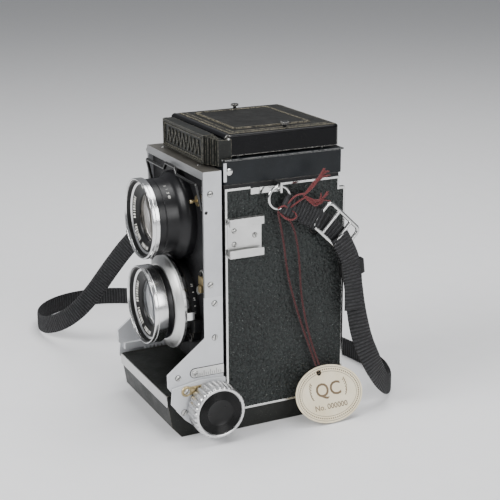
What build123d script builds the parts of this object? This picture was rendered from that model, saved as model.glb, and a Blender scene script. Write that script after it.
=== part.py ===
from build123d import *
import math
import os

# Twin lens reflex camera. Millimetres. The origin is the mouth of the tripod socket in the base,
# +Z is up and the lenses look along -Y. The operator's left hand is on the +X side.

# Driving dimensions: body
shell_half = 40.1          # outer half width of the body shell
lens_low = 67.9            # taking lens axis
lens_gap = 50.0            # lens spacing
top_rise = 23.6            # top of the shell above the viewing lens axis
arm_out = shell_half - 0.2  # outer half width of the front standard
arm_t = 1.6
wall = 1.6                 # shell wall
leather = 0.8              # covering thickness
front_y = -35.0            # body front face
back_y = 38.5              # body back face, covering included
base_h = 11.8              # black base under the body
body_top = lens_low + lens_gap + top_rise
panel_top = body_top - 1.7  # top of the covered side panel
notch_drop = 6.2           # step at the top rear corner of the sides
notch_depth = 3.8
trim_w = 1.2               # bright trim round the side panels
trim_rise = 0.35           # how far the trim stands above the covering
floor_t = 0.8

# Driving dimensions: forward bed and focusing
bed_inset = 4.3            # the bed is narrower than the shell
bed_half = shell_half - bed_inset
bed_front = -69.0
bed_h = 26.0
strip_z0 = 19.5            # bright strip across the front of the bed
strip_t = 0.5
shaft_y = -45.0
shaft_z = 19.0
shaft_r = 3.0
shaft_fit = 0.05           # running clearance of every turning shaft, on the radius
knob_r = 15.3
plate_gap = 0.4            # the plates stand clear of the arms
plate_t = 1.3
knob_gap = 0.8             # the knobs stand clear of the plates
knob_w = 12.6
plate_x0 = arm_out + plate_gap  # fixed plate under each arm
plate_x1 = plate_x0 + plate_t
knob_x0 = plate_x1 + knob_gap
knob_x1 = knob_x0 + knob_w
gear_module = 0.75
gear_teeth = 20
gear_w = 1.8
gear_backlash = 0.2
pressure_angle = math.radians(20)
focus_travel = 55.0
rail_w = 2.2
rail_x1 = arm_out - arm_t   # rail and rack bar on each arm
rail_x0 = rail_x1 - rail_w
rail_h = 4.0
rail_fit = 0.25            # sliding clearance round the rails

# Driving dimensions: front standard and lenses
std_front = -46.9
std_back = -36.4
std_top = body_top + 8.5
std_top_t = 2.0
strip_bottom = 80.6        # where the side strips meet the arm plates
board_front = -43.9
bail_y = -45.4             # pivot of the lens lock bail in the side strips
bail_z = lens_low + lens_gap + 10.1
bail_r = 0.9
bail_end = arm_out - 0.6
board_t = 1.8
ring_r = 22.6              # front ring of the viewing lens
taking_ring_r = 22.3
lens_front = -68.8
flare_r = 25.0
cell_r = 19.5              # rear cells through the board
cell_fit = 0.3
ring_bore = 18.8           # clear opening of both lenses
split_gap = 0.2            # gap between the two lens mounts where they meet

# Driving dimensions: finder and hood
finder_half = shell_half - 0.6
finder_back = 37.3
finder_top = body_top + 13.5
screen_half = 31.0
screen_t = 2.0
screen_fit = 0.1
lid_inset = 3.0            # the lid is narrower than the finder housing
lid_half = finder_half - lid_inset
lid_back = 37.5
lid_bottom = finder_top + 1.2
lid_h = 11.5
lid_top = lid_bottom + lid_h
lid_t = 1.2
lid_roll = 2.1             # rolled front edge, concentric with the hinge
lid_hinge_y = -30.6
wall_hinge_x = lid_half - 2.7
wall_hinge_z = finder_top + 2.6
wall_t = 0.8
wall_reach = 30.0          # height of the folding walls when they stand
knuckle_r = 1.2
pin_r = 0.6
pin_fit = 0.05
rear_hinge_y = 34.0
magnifier_r = 12.5
magnifier_y = 5.0          # hinge of the magnifier under the lid
magnifier_z = lid_top - 3.9

# Driving dimensions: film path and back door
film_y = 30.2              # film plane
frame_size = 56.0
spool_r = 12.5
spool_half = 32.6
spool_core = 6.0
spool_y = 19.8
supply_z = 25.5
takeup_rise = 10.9         # take-up spool above the upper film roller
stud_r = 2.6
roller_r = 2.2
roller_y = film_y - roller_r
roller_low = 36.6
roller_high = lens_low + lens_gap / 2 + 7.7
takeup_z = roller_high + takeup_rise
door_half = shell_half - wall - 0.3
door_y0 = 35.4
door_hinge_y = 37.0
door_hinge_z = 14.4
door_knuckle = 1.5
door_pin_r = 0.8
door_top = panel_top - notch_drop - 0.4
advance_r = 13.0
advance_x0 = shell_half + leather + 1.3
advance_w = 11.8
advance_x1 = advance_x0 + advance_w

# Strap, rings and tag
ring_major = 6.2
ring_minor = 0.8
lug_y = -5.6
lug_z = panel_top - 0.2
lug_x = shell_half + 6.7
strap_w = 12.0
tag_cord_d = 1.4

os.makedirs("parts", exist_ok=True)

lens_high = lens_low + lens_gap
lens_mid = lens_low + lens_gap / 2
inner_half = shell_half - wall
side_out = shell_half + leather
pitch_r = gear_module * gear_teeth / 2
tooth_pitch = math.pi * gear_module
rack_z = shaft_z + pitch_r
addendum = 0.92 * gear_module
dedendum = 1.25 * gear_module
rail_z0 = rack_z + dedendum
rail_z1 = rail_z0 + rail_h
board_back = board_front + board_t
lid_hinge_z = lid_top - lid_roll
bore_r = shaft_r + shaft_fit


def block(x, y, z, mode=Mode.ADD):
    """A box between the low and high values of each axis."""
    with Locations(((x[0] + x[1]) / 2, (y[0] + y[1]) / 2, (z[0] + z[1]) / 2)):
        Box(x[1] - x[0], y[1] - y[0], z[1] - z[0], mode=mode)


def facing(x, y, z, way):
    """A plane at a point whose normal is way: front, back, right, left, up."""
    normals = {"front": (0, -1, 0), "back": (0, 1, 0), "left": (1, 0, 0), "right": (-1, 0, 0), "up": (0, 0, 1)}
    across = (1, 0, 0) if way in ("front", "back", "up") else (0, 1, 0)
    return Plane(origin=(x, y, z), x_dir=across, z_dir=normals[way])


def rod(place, radius, length, mode=Mode.ADD):
    """A cylinder that starts on a plane and runs along its normal."""
    with Locations(place):
        Cylinder(radius, length, align=(Align.CENTER, Align.CENTER, Align.MIN), mode=mode)


def outline(place, points, depth, mode=Mode.ADD):
    """A straight-sided profile, extruded along the plane's normal."""
    with BuildSketch(place) as profile:
        with BuildLine():
            Polyline(*points, close=True)
        make_face()
    extrude(profile.sketch, amount=depth, mode=mode)


def turned(z, points, mode=Mode.ADD):
    """A profile of (radius, y) turned about a lens axis at height z."""
    with BuildSketch(Plane.XY.offset(z)) as profile:
        with BuildLine():
            Polyline(*points, close=True)
        make_face()
    revolve(profile.sketch, axis=Axis((0, 0, z), (0, 1, 0)), mode=mode)


def turned_x(y, z, points, mode=Mode.ADD):
    """A profile of (x, radius) turned about a shaft along X."""
    with BuildSketch(Plane(origin=(0, y, z), x_dir=(1, 0, 0), z_dir=(0, -1, 0))) as profile:
        with BuildLine():
            Polyline(*points, close=True)
        make_face()
    revolve(profile.sketch, axis=Axis((0, y, z), (1, 0, 0)), mode=mode)


def screws(places, head_r, head_h, shank_r, shank_l):
    """Slotted screws: each plane is the seat under the head, its normal points out."""
    for place in places:
        rod(place, head_r, head_h)
        rod(place.offset(-shank_l), shank_r, shank_l)
        with Locations(place.offset(head_h)):
            Box(head_r * 2.4, head_r * 0.3, head_h, mode=Mode.SUBTRACT)


def screw_holes(places, shank_r, depth):
    for place in places:
        rod(place.offset(-depth), shank_r, depth + 0.1, mode=Mode.SUBTRACT)


def finish(name, builder):
    builder.part.label = name
    export_step(builder.part, f"parts/{name}.step")


# Screw places, shared by the screws and the plates they hold
screw_shank = 0.7
screw_depth = 1.2
arm_screws = [(-43, std_top - 12), (-43.5, 87.8), (-41.3, 77.0), (-41.4, 57.3), (-63.6, 37.4)]
strip_screws = arm_screws[:2]
plate_screws = [(-61, 17.3)]
shoe_screws = [(-29.8, 116.4), (-29.8, 109.0), (-17.5, 112.8)]


def side_places(points, x):
    """Seats on both sides of the camera at half width x."""
    return [facing(x, y, z, "left") for y, z in points] + [facing(-x, y, z, "right") for y, z in points]


# Body shell: side walls, front wall, floor, light chamber and the slope that carries the mirror
mirror_half = 24.0
mirror_t = 1.5
mirror_y0 = -21.8
slope_t = 1.2
window_half = 30.5
window_z0 = 38.0
chamber_z0 = 40.6
chamber_t = 1.2
chamber_top = lens_mid
gate_y0 = 28.2


def side_outline(inset):
    """Side panel outline with the step at the top rear, drawn inward by inset."""
    return [
        (front_y + inset, base_h + inset),
        (back_y - inset, base_h + inset),
        (back_y - inset, panel_top - notch_drop - inset),
        (back_y - notch_depth - inset, panel_top - notch_drop - inset),
        (back_y - notch_depth - inset, panel_top - inset),
        (front_y + inset, panel_top - inset),
    ]


def mirror_line(drop, ends):
    """Corners of a layer on the 45 degree slope, drop below the mirror's face."""
    lower, upper, thick = ends
    shift = drop * math.sqrt(0.5)
    across = thick * math.sqrt(0.5)
    corners = [(y + shift, y + lens_high - shift) for y in (lower, upper)]
    return corners + [(y + across, z - across) for y, z in reversed(corners)]


with BuildPart() as body_shell:
    for side in (-1, 1):
        outline(facing(side * inner_half, 0, 0, "left"), side_outline(0), side * wall)
        block(sorted((side * inner_half, side * shell_half)), (front_y, back_y - notch_depth), (base_h, body_top))
    block((-inner_half, inner_half), (front_y, front_y + wall), (base_h, body_top))
    block((-window_half, window_half), (front_y - 1, front_y + wall + 1), (window_z0, body_top - 3),
          mode=Mode.SUBTRACT)
    block((-inner_half, inner_half), (front_y, door_y0 - 0.6), (base_h, base_h + floor_t))
    block((-inner_half, inner_half), (front_y + wall, gate_y0), (chamber_z0, chamber_z0 + chamber_t))
    block((-inner_half, inner_half), (front_y + wall, gate_y0), (chamber_top, chamber_top + chamber_t))
    outline(facing(-inner_half, 0, 0, "left"), mirror_line(mirror_t, (mirror_y0, -mirror_y0 - 2, slope_t)),
            2 * inner_half)
    block((-inner_half, inner_half), (door_y0 - 1.8, door_y0 - 0.4), (door_top - 2, body_top))
    for side in (-1, 1):
        rails = sorted((side * (rail_x0 - rail_fit), side * inner_half))
        block(rails, (front_y - 1, front_y + wall + 1), (rack_z - addendum - rail_fit, rail_z1 + rail_fit),
              mode=Mode.SUBTRACT)
        ends = facing(side * (inner_half - 0.1), 0, 0, "left" if side > 0 else "right")
        for y, z, r in ((door_hinge_y, door_hinge_z, door_pin_r), (roller_y, roller_low, 0.7),
                        (roller_y, roller_high, 0.7)):
            rod(ends.shift_origin((side * (inner_half - 0.1), y, z)), r, wall + 0.2, mode=Mode.SUBTRACT)
    for z in (supply_z, takeup_z):
        rod(facing(-shell_half - 0.1, spool_y, z, "left"), stud_r + shaft_fit, wall + 0.2, mode=Mode.SUBTRACT)
    rod(facing(inner_half - 0.1, spool_y, supply_z, "left"), stud_r + shaft_fit, wall + 0.2, mode=Mode.SUBTRACT)
    rod(facing(inner_half - 0.1, spool_y, takeup_z, "left"), stud_r + shaft_fit, wall + 0.2, mode=Mode.SUBTRACT)
finish("body_shell", body_shell)

# Base casting: plinth under the body and the forward bed with its slanted chin
socket_r = 6.0
socket_l = 9.0
chin = [(front_y, 0), (-60.5, 0), (-66.0, 6.4), (-68.0, strip_z0), (bed_front + strip_t, strip_z0),
        (bed_front + strip_t, bed_h - 0.3), (bed_front + 1.4, bed_h), (front_y, bed_h)]

with BuildPart() as base_casting:
    block((-shell_half, shell_half), (front_y, back_y), (0, base_h))
    fillet(base_casting.edges().filter_by(Axis.Z), 2.5)
    outline(facing(-bed_half, 0, 0, "left"), chin, 2 * bed_half)
    rod(facing(-bed_half - 1, shaft_y, shaft_z, "left"), bore_r, 2 * bed_half + 2, mode=Mode.SUBTRACT)
    rod(facing(0, 0, 0, "up"), socket_r, socket_l, mode=Mode.SUBTRACT)
finish("base_casting", base_casting)

tripod_r = 3.175
with BuildPart() as tripod_socket:
    rod(facing(0, 0, 0, "up"), socket_r, socket_l)
    rod(facing(0, 0, 0, "up"), tripod_r, socket_l - 1.5, mode=Mode.SUBTRACT)
finish("tripod_socket", tripod_socket)

with BuildPart() as bed_strip:
    block((-bed_half, bed_half), (bed_front, bed_front + strip_t), (strip_z0, bed_h - 0.3))
finish("bed_strip", bed_strip)

# Side covering and bright trim, one solid on each side
shoe_y = (-33.7, -13.5)
shoe_z = (102.0, 123.7)
lug_base_y = (-20.0, -4.4)
lug_base_z = (lug_z - 4.0, lug_z - 0.6)
with BuildPart() as side_leather:
    for side in (-1, 1):
        way = "left" if side > 0 else "right"
        outline(facing(side * shell_half, 0, 0, "left"), side_outline(trim_w), side * leather)
        if side > 0:
            block((shell_half, side_out), shoe_y, shoe_z, mode=Mode.SUBTRACT)
        block(sorted((side * shell_half, side * (side_out + 1))), lug_base_y, lug_base_z, mode=Mode.SUBTRACT)
        for z in (supply_z, takeup_z):
            rod(facing(side * (shell_half - 1), spool_y, z, way), stud_r + 1.2, wall + 2, mode=Mode.SUBTRACT)
finish("side_leather", side_leather)

with BuildPart() as side_trim:
    for side in (-1, 1):
        place = facing(side * shell_half, 0, 0, "left")
        outline(place, side_outline(0), side * (leather + trim_rise))
        outline(place, side_outline(trim_w), side * (leather + trim_rise), mode=Mode.SUBTRACT)
        block(sorted((side * shell_half, side * (side_out + 1))), lug_base_y, (lug_base_z[0], panel_top + 1),
              mode=Mode.SUBTRACT)
finish("side_trim", side_trim)

# Finder base, focusing screen and mirror
screen_z0 = body_top + 4.5
light_half = 28.5
with BuildPart() as finder_base:
    block((-finder_half, finder_half), (front_y, finder_back), (body_top, finder_top))
    fillet(finder_base.edges().filter_by(Axis.Z), 2.0)
    block((-light_half, light_half), (-29.5, 27.5), (body_top - 1, finder_top + 1), mode=Mode.SUBTRACT)
    block((-screen_half - screen_fit, screen_half + screen_fit), (-31.0, 30.0), (screen_z0, finder_top + 1),
          mode=Mode.SUBTRACT)
    for x in (-1, 1):
        for y in (lid_hinge_y + 6, 26.0):
            block(sorted((x * (wall_hinge_x - 0.9), x * (wall_hinge_x + 0.9))), (y, y + 1.6),
                  (finder_top, wall_hinge_z + 1.0))
            rod(facing(x * wall_hinge_x, y - 0.1, wall_hinge_z, "back"), pin_r, 1.8, mode=Mode.SUBTRACT)
    for x in (-24.0, 22.4):
        block((x, x + 1.6), (rear_hinge_y - 0.9, rear_hinge_y + 0.9), (finder_top, wall_hinge_z + 1.0))
        rod(facing(x - 0.1, rear_hinge_y, wall_hinge_z, "left"), pin_r, 1.8, mode=Mode.SUBTRACT)
finish("finder_base", finder_base)

with BuildPart() as focusing_screen:
    block((-screen_half, screen_half), (-31.0 + screen_fit, 30.0 - screen_fit), (screen_z0, screen_z0 + screen_t))
finish("focusing_screen", focusing_screen)

with BuildPart() as reflex_mirror:
    outline(facing(-mirror_half - 4, 0, 0, "left"), mirror_line(0, (mirror_y0, -mirror_y0 - 2, mirror_t)),
            2 * mirror_half + 8)
finish("reflex_mirror", reflex_mirror)

# Nameplate casting: flat panel, three ribs each side, terraces stepping back over the top
name_half = 28.0
name_front = -41.5
name_back = lid_hinge_y - lid_roll - 0.3
name_bottom = body_top + 10.0
name_top = lid_top - 0.7
rib_step = 3.0
with BuildPart() as nameplate:
    block((-name_half, name_half), (name_front, front_y), (name_bottom, name_top))
    block((-name_half + 1.2, name_half - 1.2), (name_front, name_front + 0.7), (name_bottom + 1.2, name_top - 1.2),
          mode=Mode.SUBTRACT)
    for step in range(1, 4):
        half = name_half + step * rib_step
        block((-half, half), (name_front + step * 1.55, front_y), (name_bottom, name_top - 0.5 * step))
    block((-name_half - 3 * rib_step, name_half + 3 * rib_step), (front_y, name_back),
          (finder_top, name_top - 1.6))
    for x in (-1, 1):
        block(sorted((x * (lid_half + 0.1), x * (name_half + 3 * rib_step))), (front_y - 0.5, lid_hinge_y + 1.6),
              (finder_top, name_top - 1.6))
        rod(facing(x * lid_half, lid_hinge_y, lid_hinge_z, "left" if x > 0 else "right"), pin_r, 1.0,
            mode=Mode.SUBTRACT)
finish("nameplate", nameplate)

# Pins of the hood: lid, two side walls, rear wall
with BuildPart() as hood_pins:
    for x in (-1, 1):
        rod(facing(x * 30.0, lid_hinge_y, lid_hinge_z, "left" if x > 0 else "right"), pin_r, 7.0)
        rod(facing(x * wall_hinge_x, lid_hinge_y + 4.4, wall_hinge_z, "back"), pin_r, 53.0)
    rod(facing(-25.5, rear_hinge_y, wall_hinge_z, "left"), pin_r, 51.0)
finish("hood_pins", hood_pins)

# Hood lid: rolled front edge on the hinge, side and rear skirts, raised square and two studs
with BuildPart() as hood_lid:
    block((-lid_half, lid_half), (lid_hinge_y, lid_back), (lid_bottom, lid_top))
    fillet(hood_lid.edges().filter_by(Axis.Z).group_by(Axis.Y)[-1], 4.0)
    fillet(hood_lid.faces().sort_by(Axis.Z)[-1].edges().filter_by(Axis.X, reverse=True), 1.4)
    block((-lid_half + lid_t, lid_half - lid_t), (lid_hinge_y - 1, lid_back - lid_t), (lid_bottom - 1, lid_top - lid_t),
          mode=Mode.SUBTRACT)
    rod(facing(-lid_half + 0.1, lid_hinge_y, lid_hinge_z, "left"), lid_roll, 2 * lid_half - 0.2)
    block((-26, 26), (-22, 24), (lid_top - 0.2, lid_top + 0.5))
    for x in (-31.5, 31.5):
        rod(facing(x, 5.5, lid_top - 0.2, "up"), 1.0, 2.6)
        rod(facing(x, 5.5, lid_top + 2.2, "up"), 2.3, 1.1)
    for x in (-1, 1):
        rod(facing(x * 29.9, lid_hinge_y, lid_hinge_z, "left" if x > 0 else "right"), pin_r + pin_fit, 8.0,
            mode=Mode.SUBTRACT)
        block(sorted((x * 12.6, x * 14.2)), (magnifier_y - 1.6, magnifier_y + 1.6), (magnifier_z - 1.2, lid_top - 0.6))
        rod(facing(x * 12.5, magnifier_y, magnifier_z, "left" if x > 0 else "right"), pin_r + pin_fit, 2.0,
            mode=Mode.SUBTRACT)
finish("hood_lid", hood_lid)

# Folding hood walls: mitred like the flaps of an envelope, so they rise together
mitre_gap = 0.3
root_gap = 1.7             # the leaves start this far from their hinge, clear of its lugs
front_mitre = 0.7          # the lid stands above the side walls, so their front mitre is steeper


def side_wall(side):
    """One side wall, folded inward under the lid."""
    y0 = lid_hinge_y + 2.5
    y1 = rear_hinge_y - 1.0
    reach = [(root_gap, y0 + 3), (wall_reach, y0 + front_mitre * wall_reach + 2),
             (wall_reach, y1 - wall_reach - mitre_gap), (root_gap, y1 - 3.0)]
    root = [(0.9, y0 + 9.5), (root_gap + 0.1, y0 + 9.5), (root_gap + 0.1, y0 + 47.5), (0.9, y0 + 47.5)]
    with BuildPart() as leaf:
        for points in (reach, root):
            outline(facing(0, 0, wall_hinge_z - wall_t / 2, "up"),
                    [(side * (wall_hinge_x - t), y) for t, y in points], wall_t)
        rod(facing(side * wall_hinge_x, y0 + 9.5, wall_hinge_z, "back"), knuckle_r, 38.0)
        rod(facing(side * wall_hinge_x, y0 + 9.4, wall_hinge_z, "back"), pin_r + pin_fit, 38.2, mode=Mode.SUBTRACT)
    return leaf


hood_wall_left = side_wall(1)
finish("hood_wall_left", hood_wall_left)
hood_wall_right = side_wall(-1)
finish("hood_wall_right", hood_wall_right)

rear_reach = 30.0
with BuildPart() as hood_wall_rear:
    outline(facing(0, 0, wall_hinge_z - wall_t / 2, "up"),
            [(-29.2, rear_hinge_y - root_gap), (29.2, rear_hinge_y - root_gap),
             (30.9 - rear_reach, rear_hinge_y - rear_reach), (rear_reach - 30.9, rear_hinge_y - rear_reach)], wall_t)
    block((-21.5, 21.5), (rear_hinge_y - root_gap - 0.1, rear_hinge_y - 0.9),
          (wall_hinge_z - wall_t / 2, wall_hinge_z + wall_t / 2))
    rod(facing(-21.5, rear_hinge_y, wall_hinge_z, "left"), knuckle_r, 43.0)
    rod(facing(-21.6, rear_hinge_y, wall_hinge_z, "left"), pin_r + pin_fit, 43.2, mode=Mode.SUBTRACT)
finish("hood_wall_rear", hood_wall_rear)

# Magnifier: swings out of the lid and stays level
lens_y = magnifier_y + magnifier_r + 1.6
with BuildPart() as magnifier:
    rod(facing(0, lens_y, magnifier_z - 1.0, "up"), magnifier_r, 2.0)
    block((-10.5, 10.5), (magnifier_y, lens_y - 8), (magnifier_z - 1.0, magnifier_z + 0.6))
    rod(facing(0, lens_y, magnifier_z - 1.1, "up"), magnifier_r - 1.3, 2.2, mode=Mode.SUBTRACT)
    rod(facing(-12.4, magnifier_y, magnifier_z, "left"), 1.1, 24.8)
    rod(facing(-14.0, magnifier_y, magnifier_z, "left"), pin_r, 28.0)
finish("magnifier", magnifier)

with BuildPart() as magnifier_lens:
    rod(facing(0, lens_y, magnifier_z - 0.7, "up"), magnifier_r - 1.3, 1.4)
finish("magnifier_lens", magnifier_lens)

# Film gate, rollers, spools, advance knob and spool knob
with BuildPart() as film_gate:
    block((-inner_half, inner_half), (gate_y0, film_y - 0.2), (roller_low + 2.8, roller_high - 2.8))
    block((-frame_size / 2, frame_size / 2), (gate_y0 - 1, film_y + 1),
          (lens_low - frame_size / 2, lens_low + frame_size / 2 - 3), mode=Mode.SUBTRACT)
finish("film_gate", film_gate)

with BuildPart() as film_rollers:
    for z in (roller_low, roller_high):
        rod(facing(-30.0, roller_y, z, "left"), roller_r, 60.0)
        rod(facing(-shell_half, roller_y, z, "left"), 0.7, 2 * shell_half)
finish("film_rollers", film_rollers)


def spool(z, studs):
    """A film spool along X with the stud that drives or carries it."""
    with BuildPart() as reel:
        turned_x(spool_y, z, [(-spool_half, 0), (-spool_half, spool_r), (-spool_half + 0.8, spool_r),
                              (-spool_half + 0.8, spool_core), (spool_half - 0.8, spool_core),
                              (spool_half - 0.8, spool_r), (spool_half, spool_r), (spool_half, 0)])
        for x0, length in studs:
            rod(facing(x0, spool_y, z, "left"), stud_r, length)
    return reel


takeup_spool = spool(takeup_z, [(-advance_x0, advance_x0 - spool_half), (spool_half, shell_half - spool_half)])
finish("takeup_spool", takeup_spool)
supply_spool = spool(supply_z, [(-spool_half - 3.5, 3.5), (spool_half, shell_half - spool_half)])
finish("supply_spool", supply_spool)


def fluted(y, z, x0, x1, radius, flutes, depth):
    """A fluted knob along X: plain rim at each end, flutes between."""
    low, high = sorted((x0, x1))
    rod(facing(low, y, z, "left"), radius, high - low)
    cut = Plane(origin=(low + 1.2, y, z), x_dir=(0, 1, 0), z_dir=(1, 0, 0))
    with BuildSketch(cut) as profile:
        with PolarLocations(radius + depth * 0.2, flutes):
            Circle(depth)
    extrude(profile.sketch, amount=high - low - 2.4, mode=Mode.SUBTRACT)


with BuildPart() as advance_knob:
    fluted(spool_y, takeup_z, -advance_x0, -advance_x1, advance_r, 30, 0.8)
    rod(facing(-advance_x1, spool_y, takeup_z, "left"), advance_r - 2.2, 1.0, mode=Mode.SUBTRACT)
finish("advance_knob", advance_knob)

spool_knob_r = 9.0
with BuildPart() as spool_knob:
    fluted(spool_y, supply_z, -advance_x0, -advance_x0 - 8.0, spool_knob_r, 24, 0.7)
    rod(facing(-advance_x0, spool_y, supply_z, "left"), stud_r, advance_x0 - spool_half - 3.7)
finish("spool_knob", spool_knob)

# Back door with pressure plate, covering and latch
door_skin = back_y - leather
door_pin_span = inner_half + wall
plate_half = 31.0
plate_y = film_y + 0.3
latch_z = body_top - 15.5
with BuildPart() as back_door:
    block((-door_half, door_half), (door_skin - 1.4, door_skin), (door_hinge_z, door_top))
    for side in (-1, 1):
        block(sorted((side * (door_half - 1.2), side * door_half)), (door_y0, door_skin),
              (door_hinge_z + 1, door_top))
    block((-door_half, door_half), (door_y0, door_skin), (door_top - 1.2, door_top))
    rod(facing(-door_half, door_hinge_y, door_hinge_z, "left"), door_knuckle, 2 * door_half)
    rod(facing(-door_half - 1, door_hinge_y, door_hinge_z, "left"), door_pin_r + shaft_fit, 2 * door_half + 2,
        mode=Mode.SUBTRACT)
    rod(facing(0, door_skin - 1.5, latch_z, "back"), 2.0 + shaft_fit, 2.0, mode=Mode.SUBTRACT)
finish("back_door", back_door)

with BuildPart() as door_pin:
    rod(facing(-door_pin_span, door_hinge_y, door_hinge_z, "left"), door_pin_r, 2 * door_pin_span)
finish("door_pin", door_pin)

with BuildPart() as door_leather:
    block((-door_half + 1.5, door_half - 1.5), (door_skin, back_y), (door_hinge_z + 4, door_top - 1.5))
    rod(facing(0, door_skin - 1, latch_z, "back"), 8.5, 3.0, mode=Mode.SUBTRACT)
finish("door_leather", door_leather)

with BuildPart() as pressure_plate:
    block((-plate_half, plate_half), (plate_y, plate_y + 1.2), (roller_low + 3.4, roller_high - 3.4))
    for z in (lens_low - 16, lens_low + 14):
        block((-4, 4), (plate_y + 1.2, door_skin - 1.4), (z, z + 2.0))
finish("pressure_plate", pressure_plate)

with BuildPart() as door_latch:
    rod(facing(0, door_skin - 1.4, latch_z, "back"), 2.0, 1.8)
    rod(facing(0, door_skin + 0.2, latch_z, "back"), 7.5, 1.4)
    block((-1.2, 1.2), (door_skin + 1.4, door_skin + 3.4), (latch_z - 6.5, latch_z + 6.5))
finish("door_latch", door_latch)

# Fixed plates under the arms, with spacers to the bed and the shaft bearing
plate_outline = [(-67.5, 32.0), (-68.3, 22.9), (-60.6, 12.7), (-50.0, 3.5), (-37.0, 3.5), (-36.0, 12.0),
                 (-36.0, 33.6), (-51.5, 34.6)]
with BuildPart() as knob_plates:
    for side in (-1, 1):
        way = "left" if side > 0 else "right"
        outline(facing(side * plate_x0, 0, 0, "left"), plate_outline, side * (plate_x1 - plate_x0))
        rod(facing(side * bed_half, -61, 17.3, way), 2.6, plate_x0 - bed_half)
        rod(facing(side * bed_half, -40.5, 7.5, way), 2.6, plate_x0 - bed_half)
        rod(facing(side * (bed_half + 0.2), shaft_y, shaft_z, way), bore_r, 8, mode=Mode.SUBTRACT)
    screw_holes(side_places(plate_screws, plate_x1), screw_shank, screw_depth)
finish("knob_plates", knob_plates)

# Focusing shaft with its two pinions, and the knobs
gear_x0 = rail_x0 + 0.2


def gear_flank(radius):
    """Half the angular tooth thickness of an involute tooth at a radius."""
    base = pitch_r * math.cos(pressure_angle)
    angle = math.acos(min(1.0, base / radius))
    half = (tooth_pitch / 4 - gear_backlash / 4) / pitch_r
    return half + math.tan(pressure_angle) - pressure_angle - (math.tan(angle) - angle)


def gear_tooth():
    """Outline of one tooth, root to tip and back, pointing along +Z."""
    tip = pitch_r + addendum
    root = pitch_r - dedendum
    radii = [root - 0.4] + [root + (tip - root) * i / 4 for i in range(5)]
    right = [(r * math.sin(gear_flank(r)), r * math.cos(gear_flank(r))) for r in radii]
    return right + [(-y, z) for y, z in reversed(right)]


with BuildPart() as focus_shaft:
    rod(facing(-knob_x1 + 2.0, shaft_y, shaft_z, "left"), shaft_r, 2 * knob_x1 - 4.0)
    for x0 in (gear_x0, -gear_x0 - gear_w):
        rod(facing(x0, shaft_y, shaft_z, "left"), pitch_r - dedendum, gear_w)
        place = Plane(origin=(x0, shaft_y, shaft_z), x_dir=(0, 1, 0), z_dir=(1, 0, 0))
        with BuildSketch(place):
            with BuildLine():
                Polyline(*gear_tooth(), close=True)
            tooth = make_face(mode=Mode.PRIVATE)
            with PolarLocations(0, gear_teeth):
                add(tooth)
        extrude(amount=gear_w)
finish("focus_shaft", focus_shaft)


def focus_knob(side):
    """One focusing knob: fluted ring, recessed disc with a raised hub and two spanner holes."""
    with BuildPart() as knob:
        fluted(shaft_y, shaft_z, side * knob_x0, side * knob_x1, knob_r, 36, 0.75)
        face = facing(side * knob_x1, shaft_y, shaft_z, "left" if side > 0 else "right")
        rod(face.offset(-1.2), knob_r - 2.4, 2.0, mode=Mode.SUBTRACT)
        for angle in (20, 200):
            y = shaft_y + 5.6 * math.cos(math.radians(angle))
            z = shaft_z + 5.6 * math.sin(math.radians(angle))
            hole = facing(side * (knob_x1 - 1.2), y, z, "left" if side > 0 else "right")
            rod(hole.offset(-1.0), 0.8, 2.0, mode=Mode.SUBTRACT)
        inner = facing(side * (knob_x0 - 0.1), shaft_y, shaft_z, "left" if side > 0 else "right")
        rod(inner, shaft_r, knob_x1 - 2.0 - knob_x0 + 0.1, mode=Mode.SUBTRACT)
    return knob


focus_knob_left = focus_knob(1)
finish("focus_knob_left", focus_knob_left)
focus_knob_right = focus_knob(-1)
finish("focus_knob_right", focus_knob_right)

# Front standard: top bar with side strips, arm plates with racks, lens board
with BuildPart() as front_frame:
    block((-arm_out, arm_out), (std_front, std_back), (std_top - std_top_t, std_top))
    for side in (-1, 1):
        block(sorted((side * (arm_out - arm_t), side * arm_out)), (std_front, std_back), (strip_bottom, std_top))
    block((-arm_out, arm_out), (std_front, std_front + 1.2), (std_top - 4.4, std_top))
    screw_holes(side_places(strip_screws, arm_out), screw_shank, screw_depth)
    rod(facing(-arm_out - 1, bail_y, bail_z, "left"), bail_r + shaft_fit, 2 * arm_out + 2, mode=Mode.SUBTRACT)
finish("front_frame", front_frame)

arm_outline = [(std_back, strip_bottom), (std_front, strip_bottom), (std_front, 57.2), (-69.4, 39.7),
               (-69.3, 32.3), (-66.0, rail_z0), (std_back, rail_z0)]
rail_back = shaft_y + focus_travel + 5.5
rack_front = shaft_y - 3.5 * tooth_pitch
rack_count = int((rail_back - rack_front) / tooth_pitch) - 1


def arm(side):
    """One arm: plate, rail that runs into the body, and the rack under it."""
    with BuildPart() as plate:
        outline(facing(side * (arm_out - arm_t), 0, 0, "left"), arm_outline, side * arm_t)
        block(sorted((side * rail_x0, side * rail_x1)), (-66.0, rail_back), (rail_z0, rail_z1))
        with BuildSketch(facing(side * rail_x0, 0, 0, "left")) as rack:
            for k in range(rack_count):
                y = rack_front + k * tooth_pitch
                half = tooth_pitch / 4 - gear_backlash / 4
                lean = math.tan(pressure_angle)
                with BuildLine():
                    Polyline((y - half - dedendum * lean, rail_z0 + 0.1), (y - half - dedendum * lean, rail_z0),
                             (y - half + addendum * lean, rack_z - addendum),
                             (y + half - addendum * lean, rack_z - addendum),
                             (y + half + dedendum * lean, rail_z0),
                             (y + half + dedendum * lean, rail_z0 + 0.1), close=True)
                make_face()
        extrude(rack.sketch, amount=side * (rail_x1 - rail_x0))
        screw_holes(side_places(arm_screws[2:], arm_out), screw_shank, screw_depth)
    return plate


arm_left = arm(1)
finish("arm_left", arm_left)
arm_right = arm(-1)
finish("arm_right", arm_right)

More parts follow.
